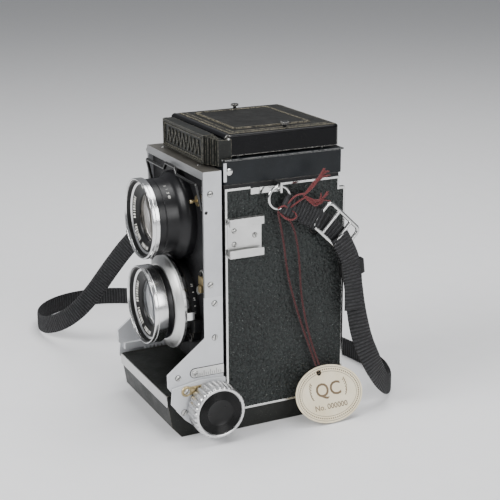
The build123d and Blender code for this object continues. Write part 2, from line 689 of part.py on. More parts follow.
board_half = arm_out - arm_t
board_z0 = 36.0
board_z1 = std_top - std_top_t
lever_pivot = (32.5, 60.0)
release_pivot = (32.5, 92.0)
with BuildPart() as lens_board:
    block((-board_half, board_half), (board_front, board_back), (board_z0, board_z1))
    for z in (lens_low, lens_high):
        rod(facing(0, board_back + 1, z, "front"), cell_r + cell_fit, board_t + 2, mode=Mode.SUBTRACT)
    rod(facing(-lever_pivot[0], board_front, lever_pivot[1], "front"), 1.2, 2.6)
    rod(facing(release_pivot[0], board_front, release_pivot[1], "front"), 1.2, 2.6)
finish("lens_board", lens_board)

bellows_out = 33.5
bellows_in = 30.5
pleats = 4
bellows_y0 = board_back + 0.2
bellows_y1 = front_y - 0.2
with BuildPart() as bellows:
    pleat = (bellows_y1 - bellows_y0) / (2 * pleats + 1)
    for k in range(2 * pleats + 1):
        half = bellows_out - (1.2 if k % 2 else 0.0)
        block((-half, half), (bellows_y0 + k * pleat, bellows_y0 + (k + 1) * pleat),
              (window_z0 + bellows_in - half, body_top - 3.2 - bellows_in + half))
    block((-bellows_in, bellows_in), (bellows_y0 - 1, bellows_y1 + 1), (window_z0 + 0.5, body_top - 3.2),
          mode=Mode.SUBTRACT)
finish("bellows", bellows)

# Lenses
seat = board_front
neck_r = 21.4              # narrow part of the viewing barrel
cell_back = board_back + 4.5
cell_bore = 16.5
with BuildPart() as viewing_barrel:
    turned(lens_high, [(ring_bore, lens_front), (ring_r, lens_front), (ring_r, -64.6), (neck_r, -64.2),
                       (neck_r, -53.0), (23.4, -50.3), (flare_r, -48.5), (flare_r, seat), (cell_r, seat),
                       (cell_r, cell_back), (cell_bore, cell_back), (cell_bore, -50.0), (ring_bore, -58.0)])
    block((-40, 40), (lens_front - 1, 0), (lens_mid - 40, lens_mid + split_gap / 2), mode=Mode.SUBTRACT)
finish("viewing_barrel", viewing_barrel)


def element(z, y0, y1, radius, bulge):
    """A lens element between y0 (front, domed towards -Y) and a flat back at y1."""
    with BuildPart() as glass:
        with BuildSketch(Plane.XY.offset(z)):
            with BuildLine():
                ThreePointArc((0, y0 - bulge), (radius / 2, y0 - bulge * 0.75), (radius, y0))
                Polyline((radius, y0), (radius, y1), (0, y1), (0, y0 - bulge))
            make_face()
        revolve(axis=Axis((0, 0, z), (0, 1, 0)))
    return glass


viewing_glass = element(lens_high, -60.5, -58.0, ring_bore - 0.6, 3.2)
finish("viewing_glass", viewing_glass)

ring_turn_r = 20.0
housing_r = 24.3
release_r = 1.5            # cable release socket: thread radius, depth, mouth
release_l = 4.9
release_x = 24.5
release_y = -49.6
release_z = lens_low - 14.5
with BuildPart() as shutter_housing:
    turned(lens_low, [(ring_turn_r, -48.6), (housing_r, -48.6), (housing_r, seat), (cell_r, seat),
                      (cell_r, cell_back), (cell_bore, cell_back), (cell_bore, -48.6)])
    block((20.0, 29.0), (-48.6, seat), (lens_low - 10.5, lens_low - 3.5))
    block((release_x - 2.6, release_x + 2.6), (-48.6, seat), (release_z, lens_low - 10.0))
    rod(facing(release_x, seat, release_z, "front"), 2.6, seat - release_y)
    rod(facing(release_x, release_y + release_l, release_z, "front"), release_r, release_l + 0.1, mode=Mode.SUBTRACT)
finish("shutter_housing", shutter_housing)

with BuildPart() as taking_barrel:
    turned(lens_low, [(ring_bore - 2.6, -48.6), (ring_turn_r, -48.6), (ring_turn_r, -57.2), (housing_r - 3.0, -57.2),
                      (housing_r - 3.0, -63.0), (taking_ring_r, -64.0), (taking_ring_r, lens_front),
                      (ring_bore, lens_front), (ring_bore, -62.0), (ring_bore - 2.6, -60.0)])
finish("taking_barrel", taking_barrel)

taking_glass = element(lens_low, -64.5, -62.0, ring_bore - 0.05, 2.8)
finish("taking_glass", taking_glass)

dial_r = 27.0              # rim of the speed ring
dial_back = -50.7
dial_front = -57.0
blade_count = 5
with BuildPart() as shutter_blades:
    for k in range(blade_count):
        with BuildSketch(Plane(origin=(0, -47.0 + k * 0.35, lens_low), x_dir=(1, 0, 0), z_dir=(0, -1, 0))):
            with BuildLine():
                start = 360 / blade_count * k
                Polyline(*[(r * math.cos(math.radians(start + a)), r * math.sin(math.radians(start + a)))
                           for r, a in ((0.4, 0), (15.8, -30), (15.8, 20), (15.8, 50), (9.0, 70))], close=True)
            make_face()
        extrude(amount=0.15)
finish("shutter_blades", shutter_blades)

# Speed ring, aperture lever ring, cocking and release levers, lens lock bail
with BuildPart() as speed_ring:
    turned(lens_low, [(ring_turn_r + shaft_fit, dial_back), (housing_r - 0.1, dial_back), (dial_r, dial_back - 1.1),
                      (dial_r, dial_back - 2.7), (neck_r + 0.2, dial_front), (ring_turn_r + shaft_fit, dial_front)])
finish("speed_ring", speed_ring)

with BuildPart() as aperture_lever:
    rod(facing(0, -48.9, lens_low, "front"), housing_r - 0.3, 1.5)
    block((23.0, 30.5), (-50.4, -48.9), (lens_low - 2.2, lens_low + 2.2))
    block((28.4, 30.5), (-53.4, -50.4), (lens_low - 2.2, lens_low + 2.2))
    rod(facing(0, -48.8, lens_low, "front"), ring_turn_r + shaft_fit, 1.7, mode=Mode.SUBTRACT)
finish("aperture_lever", aperture_lever)


def board_lever(x, z, length, up):
    """A small pressed lever that turns on a stud of the lens board."""
    with BuildPart() as lever:
        y = board_front - 0.2
        rod(facing(x, y, z, "front"), 2.4, 1.4)
        block((x - 1.6, x + 1.6), (y - 1.4, y), sorted((z, z + up * length)))
        rod(facing(x, y, z + up * length, "front"), 2.2, 3.6)
        rod(facing(x, y + 0.1, z, "front"), 1.2 + shaft_fit, 4.0, mode=Mode.SUBTRACT)
    return lever


cocking_lever = board_lever(-lever_pivot[0], lever_pivot[1], 10.0, 1)
finish("cocking_lever", cocking_lever)
release_lever = board_lever(release_pivot[0], release_pivot[1], 9.0, -1)
finish("release_lever", release_lever)

# Half of the bail wire: from its end in the strip up to the bar across the top and the hump in its middle
bail_half = [(bail_end, bail_y, bail_z), (bail_end - 2.3, bail_y, bail_z),
             (bail_end - 3.9, bail_y - 0.4, bail_z + 0.6), (bail_end - 3.9, bail_y - 3.5, bail_z + 14.6), (9.0, bail_y - 3.5, bail_z + 14.6),
             (6.0, bail_y - 3.5, bail_z + 18.2)]
with BuildPart() as lens_bail:
    with BuildLine():
        FilletPolyline(*[(-x, y, z) for x, y, z in bail_half], *reversed(bail_half), radius=bail_r + 0.05)
    with BuildSketch(Plane(origin=(-bail_end, bail_y, bail_z), x_dir=(0, 1, 0), z_dir=(1, 0, 0))):
        Circle(bail_r)
    sweep()
finish("lens_bail", lens_bail)

with BuildPart() as standard_screws:
    screws(side_places(arm_screws, arm_out), 1.5, 0.6, screw_shank, screw_depth)
finish("standard_screws", standard_screws)

with BuildPart() as distance_scale:
    block((arm_out, arm_out + 0.4), (-53.7, std_back), (36.1, 41.1))
    rod(facing(arm_out, -53.7, 38.6, "left"), 2.5, 0.4)
finish("distance_scale", distance_scale)

# Accessory shoe, lugs and split rings
shoe_t = 1.0
shoe_out = shell_half + 4.5
shoe_lip = 4.2
with BuildPart() as accessory_shoe:
    block((shell_half, shell_half + leather + 0.3), shoe_y, shoe_z)
    for low, high in ((shoe_z[0], shoe_z[0] + shoe_t), (shoe_z[1] - shoe_t, shoe_z[1])):
        block((shell_half, shoe_out), shoe_y, (low, high))
    for low, high in ((shoe_z[0], shoe_z[0] + shoe_lip), (shoe_z[1] - shoe_lip, shoe_z[1])):
        block((shoe_out - shoe_t, shoe_out), shoe_y, (low, high))
    screw_holes([facing(shell_half + leather + 0.3, y, z, "left") for y, z in shoe_screws], screw_shank, 1.0)
finish("accessory_shoe", accessory_shoe)

with BuildPart() as body_screws:
    screws([facing(shell_half + leather + 0.3, y, z, "left") for y, z in shoe_screws], 1.4, 0.5, screw_shank, 1.0)
    screws(side_places(plate_screws, plate_x1), 1.7, 0.7, screw_shank, screw_depth)
finish("body_screws", body_screws)

with BuildPart() as strap_lugs:
    for side in (-1, 1):
        block(sorted((side * shell_half, side * (shell_half + 1.6))), lug_base_y, lug_base_z)
        block(sorted((side * shell_half, side * (lug_x + 2.6))), (lug_y - 0.6, lug_y + 0.6), (lug_z - 3.0, lug_z + 2.4))
        rod(facing(side * lug_x, lug_y - 1, lug_z, "back"), ring_minor + 0.7, 2.0, mode=Mode.SUBTRACT)
finish("strap_lugs", strap_lugs)

ring_z = lug_z - ring_major
with BuildPart() as split_rings:
    for side in (-1, 1):
        with Locations(facing(side * lug_x, lug_y, ring_z, "left")):
            Torus(ring_major, ring_minor)
finish("split_rings", split_rings)

# Carrying strap: one webbing from the right ring, over the table behind the camera, to the left ring
strap_route = [
    (-50.5, -12, 120), (-62, -21, 108), (-76, -32, 92), (-90, -42, 76), (-101, -51, 58), (-110, -60, 40),
    (-118, -69, 26), (-130, -77.5, 15.5), (-146, -84, 8.8), (-164.5, -84, 6.4), (-181, -76, 6.1),
    (-192.5, -61.5, 6.1), (-197, -43, 6.1), (-194, -23, 6.1), (-182, -2, 6.1), (-164, 19, 6.1), (-142, 37, 6.1),
    (-117, 51.5, 6.1), (-90, 63.5, 6.1), (-62, 73, 6.1), (-34, 80.5, 6.1), (-8, 85, 6.1), (13, 85.6, 6.2),
    (32.8, 78.6, 6.2), (44.6, 68.6, 9.2), (52.2, 58.8, 17.8), (54.6, 51, 30.4), (51.4, 45.7, 44.6), (48, 43.6, 60),
    (47.6, 41.5, 76), (48, 38.5, 92), (48, 32, 106.5), (48, 21, 117), (48, 7.5, 124),
]


def arc_radii(route):
    """Largest arc each corner takes: 0.45 of the shorter run over the tangent of half the turn."""
    radii = []
    for before, here, after in zip(route, route[1:], route[2:]):
        run_in = Vector(*here) - Vector(*before)
        run_out = Vector(*after) - Vector(*here)
        half_turn = math.radians(run_in.get_angle(run_out)) / 2
        radii.append(0.45 * min(run_in.length, run_out.length) / math.tan(half_turn))
    return radii


def tube(route, diameter):
    """A round tube along straight runs joined by tangent arcs."""
    radii = arc_radii(route)
    with BuildPart() as cord:
        with BuildLine() as path:
            FilletPolyline(*route, radius=radii)
        with BuildSketch(Plane(origin=route[0], z_dir=path.line @ 0.001 - path.line @ 0)):
            Circle(diameter / 2)
        sweep()
    length = sum(edge.length for edge in path.line.edges())
    section = math.pi * diameter**2 / 4
    print(f"tube {diameter} mm: length {length:.0f}, least radius {min(radii):.1f}, "
          f"volume share {cord.part.volume / (section * length):.3f}")
    return cord


strap = tube(strap_route, strap_w)
finish("strap", strap)

with BuildPart() as strap_buckle:
    with Locations(Plane(origin=(48, 28.6, 113.2), x_dir=(0, 0.72, -0.69), z_dir=(1, 0, 0))):
        Box(28, 17.5, 2.4)
        Box(10.2, 13.0, 4, mode=Mode.SUBTRACT)
        with Locations((-9, 0, 0), (9, 0, 0)):
            Box(6.4, 13.0, 4, mode=Mode.SUBTRACT)
finish("strap_buckle", strap_buckle)

with BuildPart() as strap_keepers:
    for place in (Plane(origin=(48, 40.2, 88), x_dir=(0, 1, 0.1), z_dir=(0, -0.1, 1)),
                  Plane(origin=(-84, -37.6, 82.6), x_dir=(0.7, -0.7, 0), z_dir=(0.57, 0.43, 0.69))):
        with BuildSketch(place):
            RectangleRounded(15, 5.5, 1.2)
        extrude(amount=4.5, both=True)
finish("strap_keepers", strap_keepers)

# Paper tag leaning on the side, held by two strands of cord from the left ring
tag_long = 43.0
tag_short = 33.0
tag_t = 0.5
tag_low = Vector(58.4, 24, 0.6)
tag_lean = Vector(-13.2, 0, 30.2).normalized()
tag_plane = Plane(origin=tag_low + tag_lean * (tag_short / 2), x_dir=(0, 1, 0), z_dir=Vector(0, 1, 0).cross(tag_lean))
with BuildPart() as tag:
    with BuildSketch(tag_plane):
        Ellipse(tag_long / 2, tag_short / 2)
        with Locations((-4, 12.6)):
            Circle(1.6, mode=Mode.SUBTRACT)
    extrude(amount=tag_t)
finish("tag", tag)

cord_front_route = [(46.8, -6.4, 125.2), (45.2, -3.6, 116), (44.0, -1.0, 104), (43.4, 1.2, 89), (43.4, 5.4, 73),
                    (43.6, 10.4, 57), (44.6, 15.2, 43), (45.9, 18.8, 31.6)]
cord_back_route = [(46.9, -3.4, 125.4), (45.8, 3.0, 118), (44.6, 7.0, 105), (43.8, 8.8, 91), (43.6, 9.8, 76),
                   (43.8, 12.6, 60), (44.8, 16.2, 45), (46.4, 20.4, 32.4)]
tag_cord_front = tube(cord_front_route, tag_cord_d)
finish("tag_cord_front", tag_cord_front)
tag_cord_back = tube(cord_back_route, tag_cord_d)
finish("tag_cord_back", tag_cord_back)
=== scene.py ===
import math
import random

import bmesh
import bpy
from mathutils import Matrix, Vector


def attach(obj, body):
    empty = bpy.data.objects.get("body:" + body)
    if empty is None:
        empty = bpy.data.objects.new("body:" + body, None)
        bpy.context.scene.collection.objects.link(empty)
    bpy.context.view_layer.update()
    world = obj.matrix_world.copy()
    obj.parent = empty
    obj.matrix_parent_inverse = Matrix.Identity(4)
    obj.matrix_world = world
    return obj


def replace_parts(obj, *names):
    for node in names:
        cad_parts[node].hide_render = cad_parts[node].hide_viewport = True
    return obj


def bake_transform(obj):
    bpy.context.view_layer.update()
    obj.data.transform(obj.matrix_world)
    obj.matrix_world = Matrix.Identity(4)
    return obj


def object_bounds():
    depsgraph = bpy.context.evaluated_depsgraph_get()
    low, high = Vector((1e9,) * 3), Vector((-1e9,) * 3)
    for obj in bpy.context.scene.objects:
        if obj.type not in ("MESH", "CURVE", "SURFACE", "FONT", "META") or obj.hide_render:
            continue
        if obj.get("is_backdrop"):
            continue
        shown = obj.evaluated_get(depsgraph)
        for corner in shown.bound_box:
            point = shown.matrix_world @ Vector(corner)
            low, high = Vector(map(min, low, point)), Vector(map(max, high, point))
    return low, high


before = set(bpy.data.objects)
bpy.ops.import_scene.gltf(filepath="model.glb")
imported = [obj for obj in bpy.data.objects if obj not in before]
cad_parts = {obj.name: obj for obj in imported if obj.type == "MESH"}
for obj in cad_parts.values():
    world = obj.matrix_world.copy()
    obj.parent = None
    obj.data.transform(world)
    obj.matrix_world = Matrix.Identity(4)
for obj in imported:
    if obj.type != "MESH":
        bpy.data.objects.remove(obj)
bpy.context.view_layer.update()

MM = 0.001
random.seed(7)

# ---------------------------------------------------------------- camera, floor and light
AZIMUTH, ELEVATION, ROLL = math.radians(63.906), math.radians(16.977), math.radians(-0.218)
TARGET = Vector((-0.0001, -0.0002, 0.0906))
DISTANCE = 0.682
LENS_MM = 84.465

right = Vector((math.cos(AZIMUTH), math.sin(AZIMUTH), 0))
back = Vector((math.sin(AZIMUTH) * math.cos(ELEVATION), -math.cos(AZIMUTH) * math.cos(ELEVATION),
               math.sin(ELEVATION)))
up = back.cross(right)
right, up = right * math.cos(ROLL) + up * math.sin(ROLL), up * math.cos(ROLL) - right * math.sin(ROLL)
camera_data = bpy.data.cameras.new("camera")
camera_data.lens = LENS_MM
camera_data.sensor_width = 36
camera = bpy.data.objects.new("camera", camera_data)
bpy.context.collection.objects.link(camera)
turn = Matrix((right, up, back)).transposed().to_4x4()
camera.matrix_world = Matrix.Translation(TARGET + back * DISTANCE) @ turn
bpy.context.scene.camera = camera


def area_light(name, place, size, power):
    """A soft rectangular light that looks at the camera's middle."""
    data = bpy.data.lights.new(name, "AREA")
    data.shape = "RECTANGLE"
    data.size, data.size_y = size
    data.energy = power
    lamp = bpy.data.objects.new(name, data)
    lamp.location = place
    lamp.rotation_euler = (Vector((0, 0, 0.08)) - Vector(place)).to_track_quat("-Z", "Y").to_euler()
    bpy.context.collection.objects.link(lamp)


area_light("key", (0.1, -1.15, 0.85), (0.7, 0.6), 18)
area_light("fill", (1.15, 0.25, 0.6), (0.7, 0.7), 9)
area_light("top", (0.0, 0.25, 1.25), (0.8, 0.8), 13)
world = bpy.data.worlds.new("world")
bpy.context.scene.world = world
world.use_nodes = True
world.node_tree.nodes["Background"].inputs["Color"].default_value = (0.85, 0.87, 0.9, 1)
world.node_tree.nodes["Background"].inputs["Strength"].default_value = 0.3


# ---------------------------------------------------------------- materials
OFF, ON = (0, 0, 0), (1, 1, 1)


def shaded(colour, share):
    return tuple(c * share for c in colour)


class Surface:
    """A Principled material and the nodes that feed it."""

    def __init__(self, name, base, rough, metallic=0.0):
        self.material = bpy.data.materials.new(name)
        self.material.use_nodes = True
        self.nodes, self.link = self.material.node_tree.nodes, self.material.node_tree.links.new
        self.sockets = self.nodes["Principled BSDF"].inputs
        self.sockets["Base Color"].default_value = (*base, 1)
        self.set("Roughness", rough)
        self.set("Metallic", metallic)

    def set(self, socket, value):
        self.sockets[socket].default_value = value

    def colour(self, source):
        self.link(source, self.sockets["Base Color"])

    def node(self, kind, values=(), **settings):
        """A node with its (input, value) pairs and its settings."""
        made = self.nodes.new("ShaderNode" + kind)
        for name, value in settings.items():
            setattr(made, name, value)
        for key, value in values:
            if isinstance(value, bpy.types.NodeSocket):
                self.link(value, made.inputs[key])
            else:
                made.inputs[key].default_value = value
        return made

    def coords(self, scale=(1, 1, 1)):
        """Object coordinates in metres, stretched by scale."""
        source = self.node("TexCoord")
        return self.node("Mapping",
                         (("Scale", scale), ("Vector", source.outputs["Object"]))).outputs["Vector"]

    def noise(self, vector, scale, detail=4.0):
        values = (("Scale", scale), ("Detail", detail), ("Roughness", 0.6), ("Vector", vector))
        return self.node("TexNoise", values).outputs["Fac"]

    def ramp(self, value, stops):
        """Colour ramp over (position, colour) stops."""
        made = self.node("ValToRGB", (("Fac", value),))
        for element, (position, colour) in zip(made.color_ramp.elements, stops):
            element.position, element.color = position, (*colour, 1)
        return made.outputs["Color"]

    def grey(self, value, low, high):
        """Ramp between two (position, level) stops of grey."""
        return self.ramp(value, [(low[0], (low[1],) * 3), (high[0], (high[1],) * 3)])

    def mixed(self, factor, a, b, blend="MIX"):
        a, b = [(*colour, 1) if isinstance(colour, tuple) else colour for colour in (a, b)]
        return self.node("Mix", ((0, factor), (6, a), (7, b)), data_type="RGBA", blend_type=blend).outputs[2]

    def bump(self, height, strength, distance, soften=0.0002):
        """Surface relief over edges that read as slightly rounded."""
        made = self.node("Bump", (("Strength", strength), ("Distance", distance), ("Height", height)))
        if soften:
            rounding = self.node("Bevel", (("Radius", soften),), samples=4)
            self.link(rounding.outputs["Normal"], made.inputs["Normal"])
        self.link(made.outputs["Normal"], self.sockets["Normal"])

    def edges(self, vector, radius):
        """Bright where the surface turns a sharp corner, broken up by noise."""
        bevel = self.node("Bevel", (("Radius", radius),))
        geometry = self.node("NewGeometry")
        dot = self.node("VectorMath", ((0, bevel.outputs["Normal"]), (1, geometry.outputs["Normal"])),
                        operation="DOT_PRODUCT")
        spread = self.node("MapRange",
                           (("From Min", 0.97), ("From Max", 0.75), ("Value", dot.outputs["Value"])))
        grain = self.ramp(self.noise(vector, 900, 6), [(0.38, OFF), (0.6, ON)])
        broken = self.node("Math", ((0, spread.outputs["Result"]), (1, grain)), operation="MULTIPLY")
        return broken.outputs["Value"]


def paint(name, base, rough, mottle=0.1, grain=1400, relief=0.15, worn=None, wear=0.0004, dust=0.0,
          gloss=0.5):
    """Painted metal: fine orange peel, uneven tone, worn edges and a little dust."""
    s = Surface(name, base, rough)
    s.set("Specular IOR Level", gloss)
    v = s.coords()
    light = tuple(min(1, c * (1 + mottle)) for c in base)
    colour = s.ramp(s.noise(v, 60), [(0.3, shaded(base, 1 - mottle)), (0.7, light)])
    if dust:
        colour = s.mixed(s.grey(s.noise(v, 1900, 2), (0.66, 0), (0.78, dust)), colour, (0.45, 0.44, 0.4))
    if worn:
        colour = s.mixed(s.edges(v, wear), colour, worn)
    s.colour(colour)
    s.link(s.grey(s.noise(v, 140), (0.3, rough * 0.85), (0.7, min(1, rough * 1.2))), s.sockets["Roughness"])
    s.bump(s.noise(v, grain, 2), relief, 0.0002)
    return s.material


def metal(name, base, rough, stretch=(1, 1, 1), lines=500, relief=0.08, stain=0.12):
    """Metal with drawn or turned lines along the stretched axes and faint tarnish."""
    s = Surface(name, base, rough, 1.0)
    plain = s.coords()
    s.colour(s.ramp(s.noise(plain, 90), [(0.35, shaded(base, 1 - stain)), (0.65, base)]))
    s.link(s.grey(s.noise(plain, 220), (0.3, rough * 0.85), (0.7, rough * 1.2)), s.sockets["Roughness"])
    if relief:
        s.bump(s.noise(s.coords(stretch), lines, 3), relief, 0.00003)
    return s.material


def leatherette(name, base, pebble):
    """Pebbled covering: rounded cells with creases between, sparse pale specks; the cell tops carry painted
    highlight and the creases painted shade.
    """
    s = Surface(name, base, 0.5)
    s.set("Specular IOR Level", 0.35)
    v = s.coords()
    wander = s.node("TexNoise", (("Scale", 420), ("Vector", v)))
    shift = s.node("VectorMath", ((0, wander.outputs["Color"]), (1, (0.0011,) * 3), (2, v)),
                   operation="MULTIPLY_ADD")
    cells = s.node("TexVoronoi",
                   (("Scale", pebble), ("Smoothness", 0.35), ("Vector", shift.outputs["Vector"])),
                   feature="SMOOTH_F1")
    # Painted highlight on the cell tops and painted shade in the creases, taken from the same cells as the
    # relief.
    colour = s.ramp(cells.outputs["Distance"], [(0.1, shaded(base, 1.5)), (0.62, shaded(base, 0.3))])
    colour = s.mixed(s.grey(s.noise(v, 26), (0.3, 0), (0.75, 0.45)), colour, shaded(base, 1.9))
    s.colour(s.mixed(s.grey(s.noise(v, 1500, 1), (0.735, 0), (0.77, 0.8)), colour, (0.3, 0.32, 0.3)))
    height = s.node("Math", ((0, 1.0), (1, cells.outputs["Distance"])), operation="SUBTRACT")
    s.bump(height.outputs["Value"], 1.0, 0.0011, 0.0)
    return s.material


def coated_glass(name, tint):
    """Lens glass with a coloured anti-reflection coating."""
    s = Surface(name, ON, 0.02)
    s.set("Transmission Weight", 1.0)
    s.set("IOR", 1.62)
    s.set("Specular Tint", (*tint, 1))
    s.link(s.grey(s.noise(s.coords(), 130, 5), (0.45, 0.012), (0.75, 0.06)), s.sockets["Roughness"])
    return s.material


def cloth(name, base, scale, sheen):
    """Woven or twisted thread."""
    s = Surface(name, base, 0.8)
    s.set("Sheen Weight", sheen)
    v = s.coords()
    s.colour(s.ramp(s.noise(v, scale, 3), [(0.35, shaded(base, 0.5)), (0.65, base)]))
    s.bump(s.noise(v, scale * 1.7, 3), 0.5, 0.0003)
    return s.material


def webbing_material(name):
    """Nylon webbing: painted shade in the creases between the cross ribs and painted highlight on the ribs,
    fine uneven threads.
    """
    s = Surface(name, (0.012, 0.012, 0.013), 0.5)
    s.set("Specular IOR Level", 0.3)
    source = s.node("UVMap", uv_map="strap")
    wave = s.node("TexWave", (("Scale", 0.157), ("Distortion", 0.3), ("Vector", source.outputs["UV"])),
                  wave_type="BANDS", bands_direction="X").outputs["Fac"]
    fuzz = s.ramp(s.noise(s.coords(), 800), [(0.35, (0.008, 0.008, 0.009)), (0.7, (0.03, 0.03, 0.032))])
    # The rib bands multiply the colour: painted shade in the creases, painted highlight on the ribs.
    s.colour(s.mixed(1.0, fuzz, s.grey(wave, (0.15, 0.25), (0.6, 1.4)), "MULTIPLY"))
    s.bump(wave, 0.8, 0.0006, 0.0)
    return s.material


def paper_material(name):
    """Cream card with uneven tone and darker edges."""
    s = Surface(name, (0.84, 0.77, 0.6), 0.8)
    v = s.coords()
    colour = s.ramp(s.noise(v, 70, 6), [(0.25, (0.74, 0.63, 0.43)), (0.7, (0.86, 0.78, 0.6))])
    s.colour(s.mixed(s.edges(v, 0.0006), colour, (0.6, 0.52, 0.38)))
    s.bump(s.noise(v, 2500, 3), 0.15, 0.0001)
    return s.material


def frame_paint():
    """Satin grey sides with a darker, browner top face and dark front edges."""
    s = Surface("frame_paint", (0.55, 0.56, 0.58), 0.36)
    s.set("Metallic", 0.35)
    v = s.coords()
    side = s.ramp(s.noise(v, 60), [(0.3, (0.5, 0.51, 0.53)), (0.7, (0.6, 0.61, 0.63))])
    top = s.ramp(s.noise(v, 120, 6), [(0.3, (0.085, 0.08, 0.07)), (0.7, (0.15, 0.14, 0.125))])
    split = s.node("SeparateXYZ", ((0, s.node("NewGeometry").outputs["Normal"]),))
    colour = s.mixed(s.ramp(split.outputs["Z"], [(0.6, OFF), (0.75, ON)]), side, top)
    ahead = s.node("Math", ((1, -1.0), (0, split.outputs["Y"])), operation="MULTIPLY")
    colour = s.mixed(s.grey(ahead.outputs["Value"], (0.8, 0), (0.9, 0.75)), colour, (0.11, 0.11, 0.11))
    s.colour(s.mixed(s.edges(v, 0.00035), colour, (0.72, 0.71, 0.68)))
    s.bump(s.noise(v, 2600, 2), 0.12, 0.0002)
    return s.material


FRAME_PAINT = frame_paint()
GREY_PAINT = paint("grey_paint", (0.62, 0.63, 0.65), 0.34, 0.05, 2600, 0.12, (0.8, 0.79, 0.76), 0.0003)
BLACK_PAINT = paint("black_paint", (0.009, 0.009, 0.01), 0.4, 0.3, 1600, 0.3, (0.16, 0.14, 0.11),
                    0.0004, 0.2, 0.25)
BLACK_CRINKLE = paint("black_crinkle", (0.011, 0.012, 0.0105), 0.4, 0.35, 700, 0.5, (0.3, 0.28, 0.22),
                      0.0006, 0.25, 0.25)
FINDER_BLACK = paint("finder_black", (0.008, 0.01, 0.012), 0.36, 0.35, 1100, 0.35, (0.4, 0.4, 0.39),
                     0.0006, 0.2, 0.25)
BLACK_MATTE = paint("black_matte", (0.006, 0.006, 0.007), 0.33, 0.3, 1500, 0.1, gloss=0.35)
BAIL_BLACK = paint("bail_black", (0.01, 0.01, 0.01), 0.22, 0.3, 1500, 0.05, gloss=0.5)
LID_GLOSS = paint("lid_gloss", (0.002, 0.002, 0.003), 0.2, 0.3, 500, 0.02, (0.75, 0.73, 0.68), 0.0011, 0.06,
                  0.16)
LID_TOP = paint("lid_top", (0.009, 0.009, 0.008), 0.45, 0.5, 620, 0.6, (0.4, 0.36, 0.27), 0.0009, 0.3, 0.22)
CHROME = metal("chrome", (0.66, 0.66, 0.65), 0.12)
BRIGHT = metal("bright_ring", (0.76, 0.76, 0.76), 0.22, stain=0.05)
SATIN_CHROME = metal("satin_chrome", (0.68, 0.68, 0.67), 0.36, (1, 1, 6), 700, 0.1)
STEEL = metal("steel", (0.6, 0.6, 0.58), 0.3)
ALUMINIUM = metal("aluminium", (0.7, 0.7, 0.7), 0.28, (1, 8, 8), 900, 0.12)
BRASS = metal("brass", (0.5, 0.4, 0.22), 0.35, stain=0.4)
LEATHER = leatherette("leatherette", (0.015, 0.019, 0.018), 620)
BELLOWS = cloth("bellows_cloth", (0.012, 0.012, 0.012), 900, 0.1)
AMBER_GLASS = coated_glass("viewing_coating", (1.0, 0.85, 0.65))
BLUE_GLASS = coated_glass("taking_coating", (0.75, 0.85, 1.0))
CLEAR_GLASS = coated_glass("clear_glass", ON)
AMBER_MIRROR = metal("viewing_reflection", (0.34, 0.25, 0.17), 0.06, relief=0.0, stain=0.3)
GREEN_MIRROR = metal("taking_reflection", (0.2, 0.21, 0.14), 0.06, relief=0.0, stain=0.3)
MIRROR = metal("mirror_silver", (0.9, 0.9, 0.9), 0.03, relief=0.0, stain=0.02)
WEBBING = webbing_material("webbing")
PLASTIC = paint("black_plastic", (0.008, 0.008, 0.008), 0.3, 0.2, 900, 0.08, gloss=0.25)
RED_CORD = cloth("red_cord", (0.085, 0.01, 0.012), 1500, 0.2)
RED_FRAY = cloth("red_fray", (0.2, 0.022, 0.024), 1500, 0.3)
PAPER = paper_material("paper")
INK = paint("brown_ink", (0.16, 0.11, 0.06), 0.7, 0.3, 1500, 0.05)
PALE_INK = paint("pale_ink", (0.8, 0.79, 0.74), 0.6, 0.1, 1500, 0.05)
# Dark ink for printed marks, also used for the dark discs under screw heads, which are painted shade.
DARK_INK_AND_SHADE = paint("dark_ink_and_shade", (0.02, 0.02, 0.02), 0.6, 0.1, 1500, 0.05)

NODE_MATERIAL = {
    FINDER_BLACK: "finder_base",
    BAIL_BLACK: "lens_bail",
    BLACK_PAINT: "body_shell back_door lens_board speed_ring_back film_gate hood_wall_left "
                 "hood_wall_right hood_wall_rear takeup_spool supply_spool shutter_blades shutter_housing",
    BLACK_CRINKLE: "base_casting nameplate",
    BLACK_MATTE: "viewing_barrel",
    LID_GLOSS: "hood_lid",
    FRAME_PAINT: "front_frame",
    GREY_PAINT: "arm_left arm_right knob_plates",
    CHROME: "side_trim split_rings aperture_lever strap_lugs taking_barrel bed_strip",
    SATIN_CHROME: "accessory_shoe distance_scale door_latch",
    STEEL: "tripod_socket hood_pins film_rollers door_pin body_screws standard_screws focus_shaft "
           "release_lever cocking_lever pressure_plate magnifier",
    ALUMINIUM: "focus_knob_left focus_knob_right advance_knob spool_knob",
    LEATHER: "side_leather door_leather",
    BELLOWS: "bellows",
    CLEAR_GLASS: "focusing_screen magnifier_lens viewing_glass taking_glass",
    MIRROR: "reflex_mirror",
}
for material, names in NODE_MATERIAL.items():
    for node in names.split():
        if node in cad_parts:
            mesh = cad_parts[node].data
            mesh.materials.clear()
            mesh.materials.append(material)


# ---------------------------------------------------------------- mesh helpers
SLOT_MATERIALS = {
    "steel": (STEEL,), "chrome": (CHROME, BRIGHT, SATIN_CHROME), "aluminium": (ALUMINIUM,), "brass": (BRASS,),
    "grey_paint": (GREY_PAINT,), "black_plastic": (PLASTIC,), "webbing": (WEBBING,), "paper": (PAPER, INK),
    "black_paint": (BLACK_PAINT, BLACK_MATTE, BLACK_CRINKLE, FINDER_BLACK, PALE_INK, DARK_INK_AND_SHADE),
    "red_cord": (RED_CORD, RED_FRAY), "black_gloss": (LID_TOP,),
}


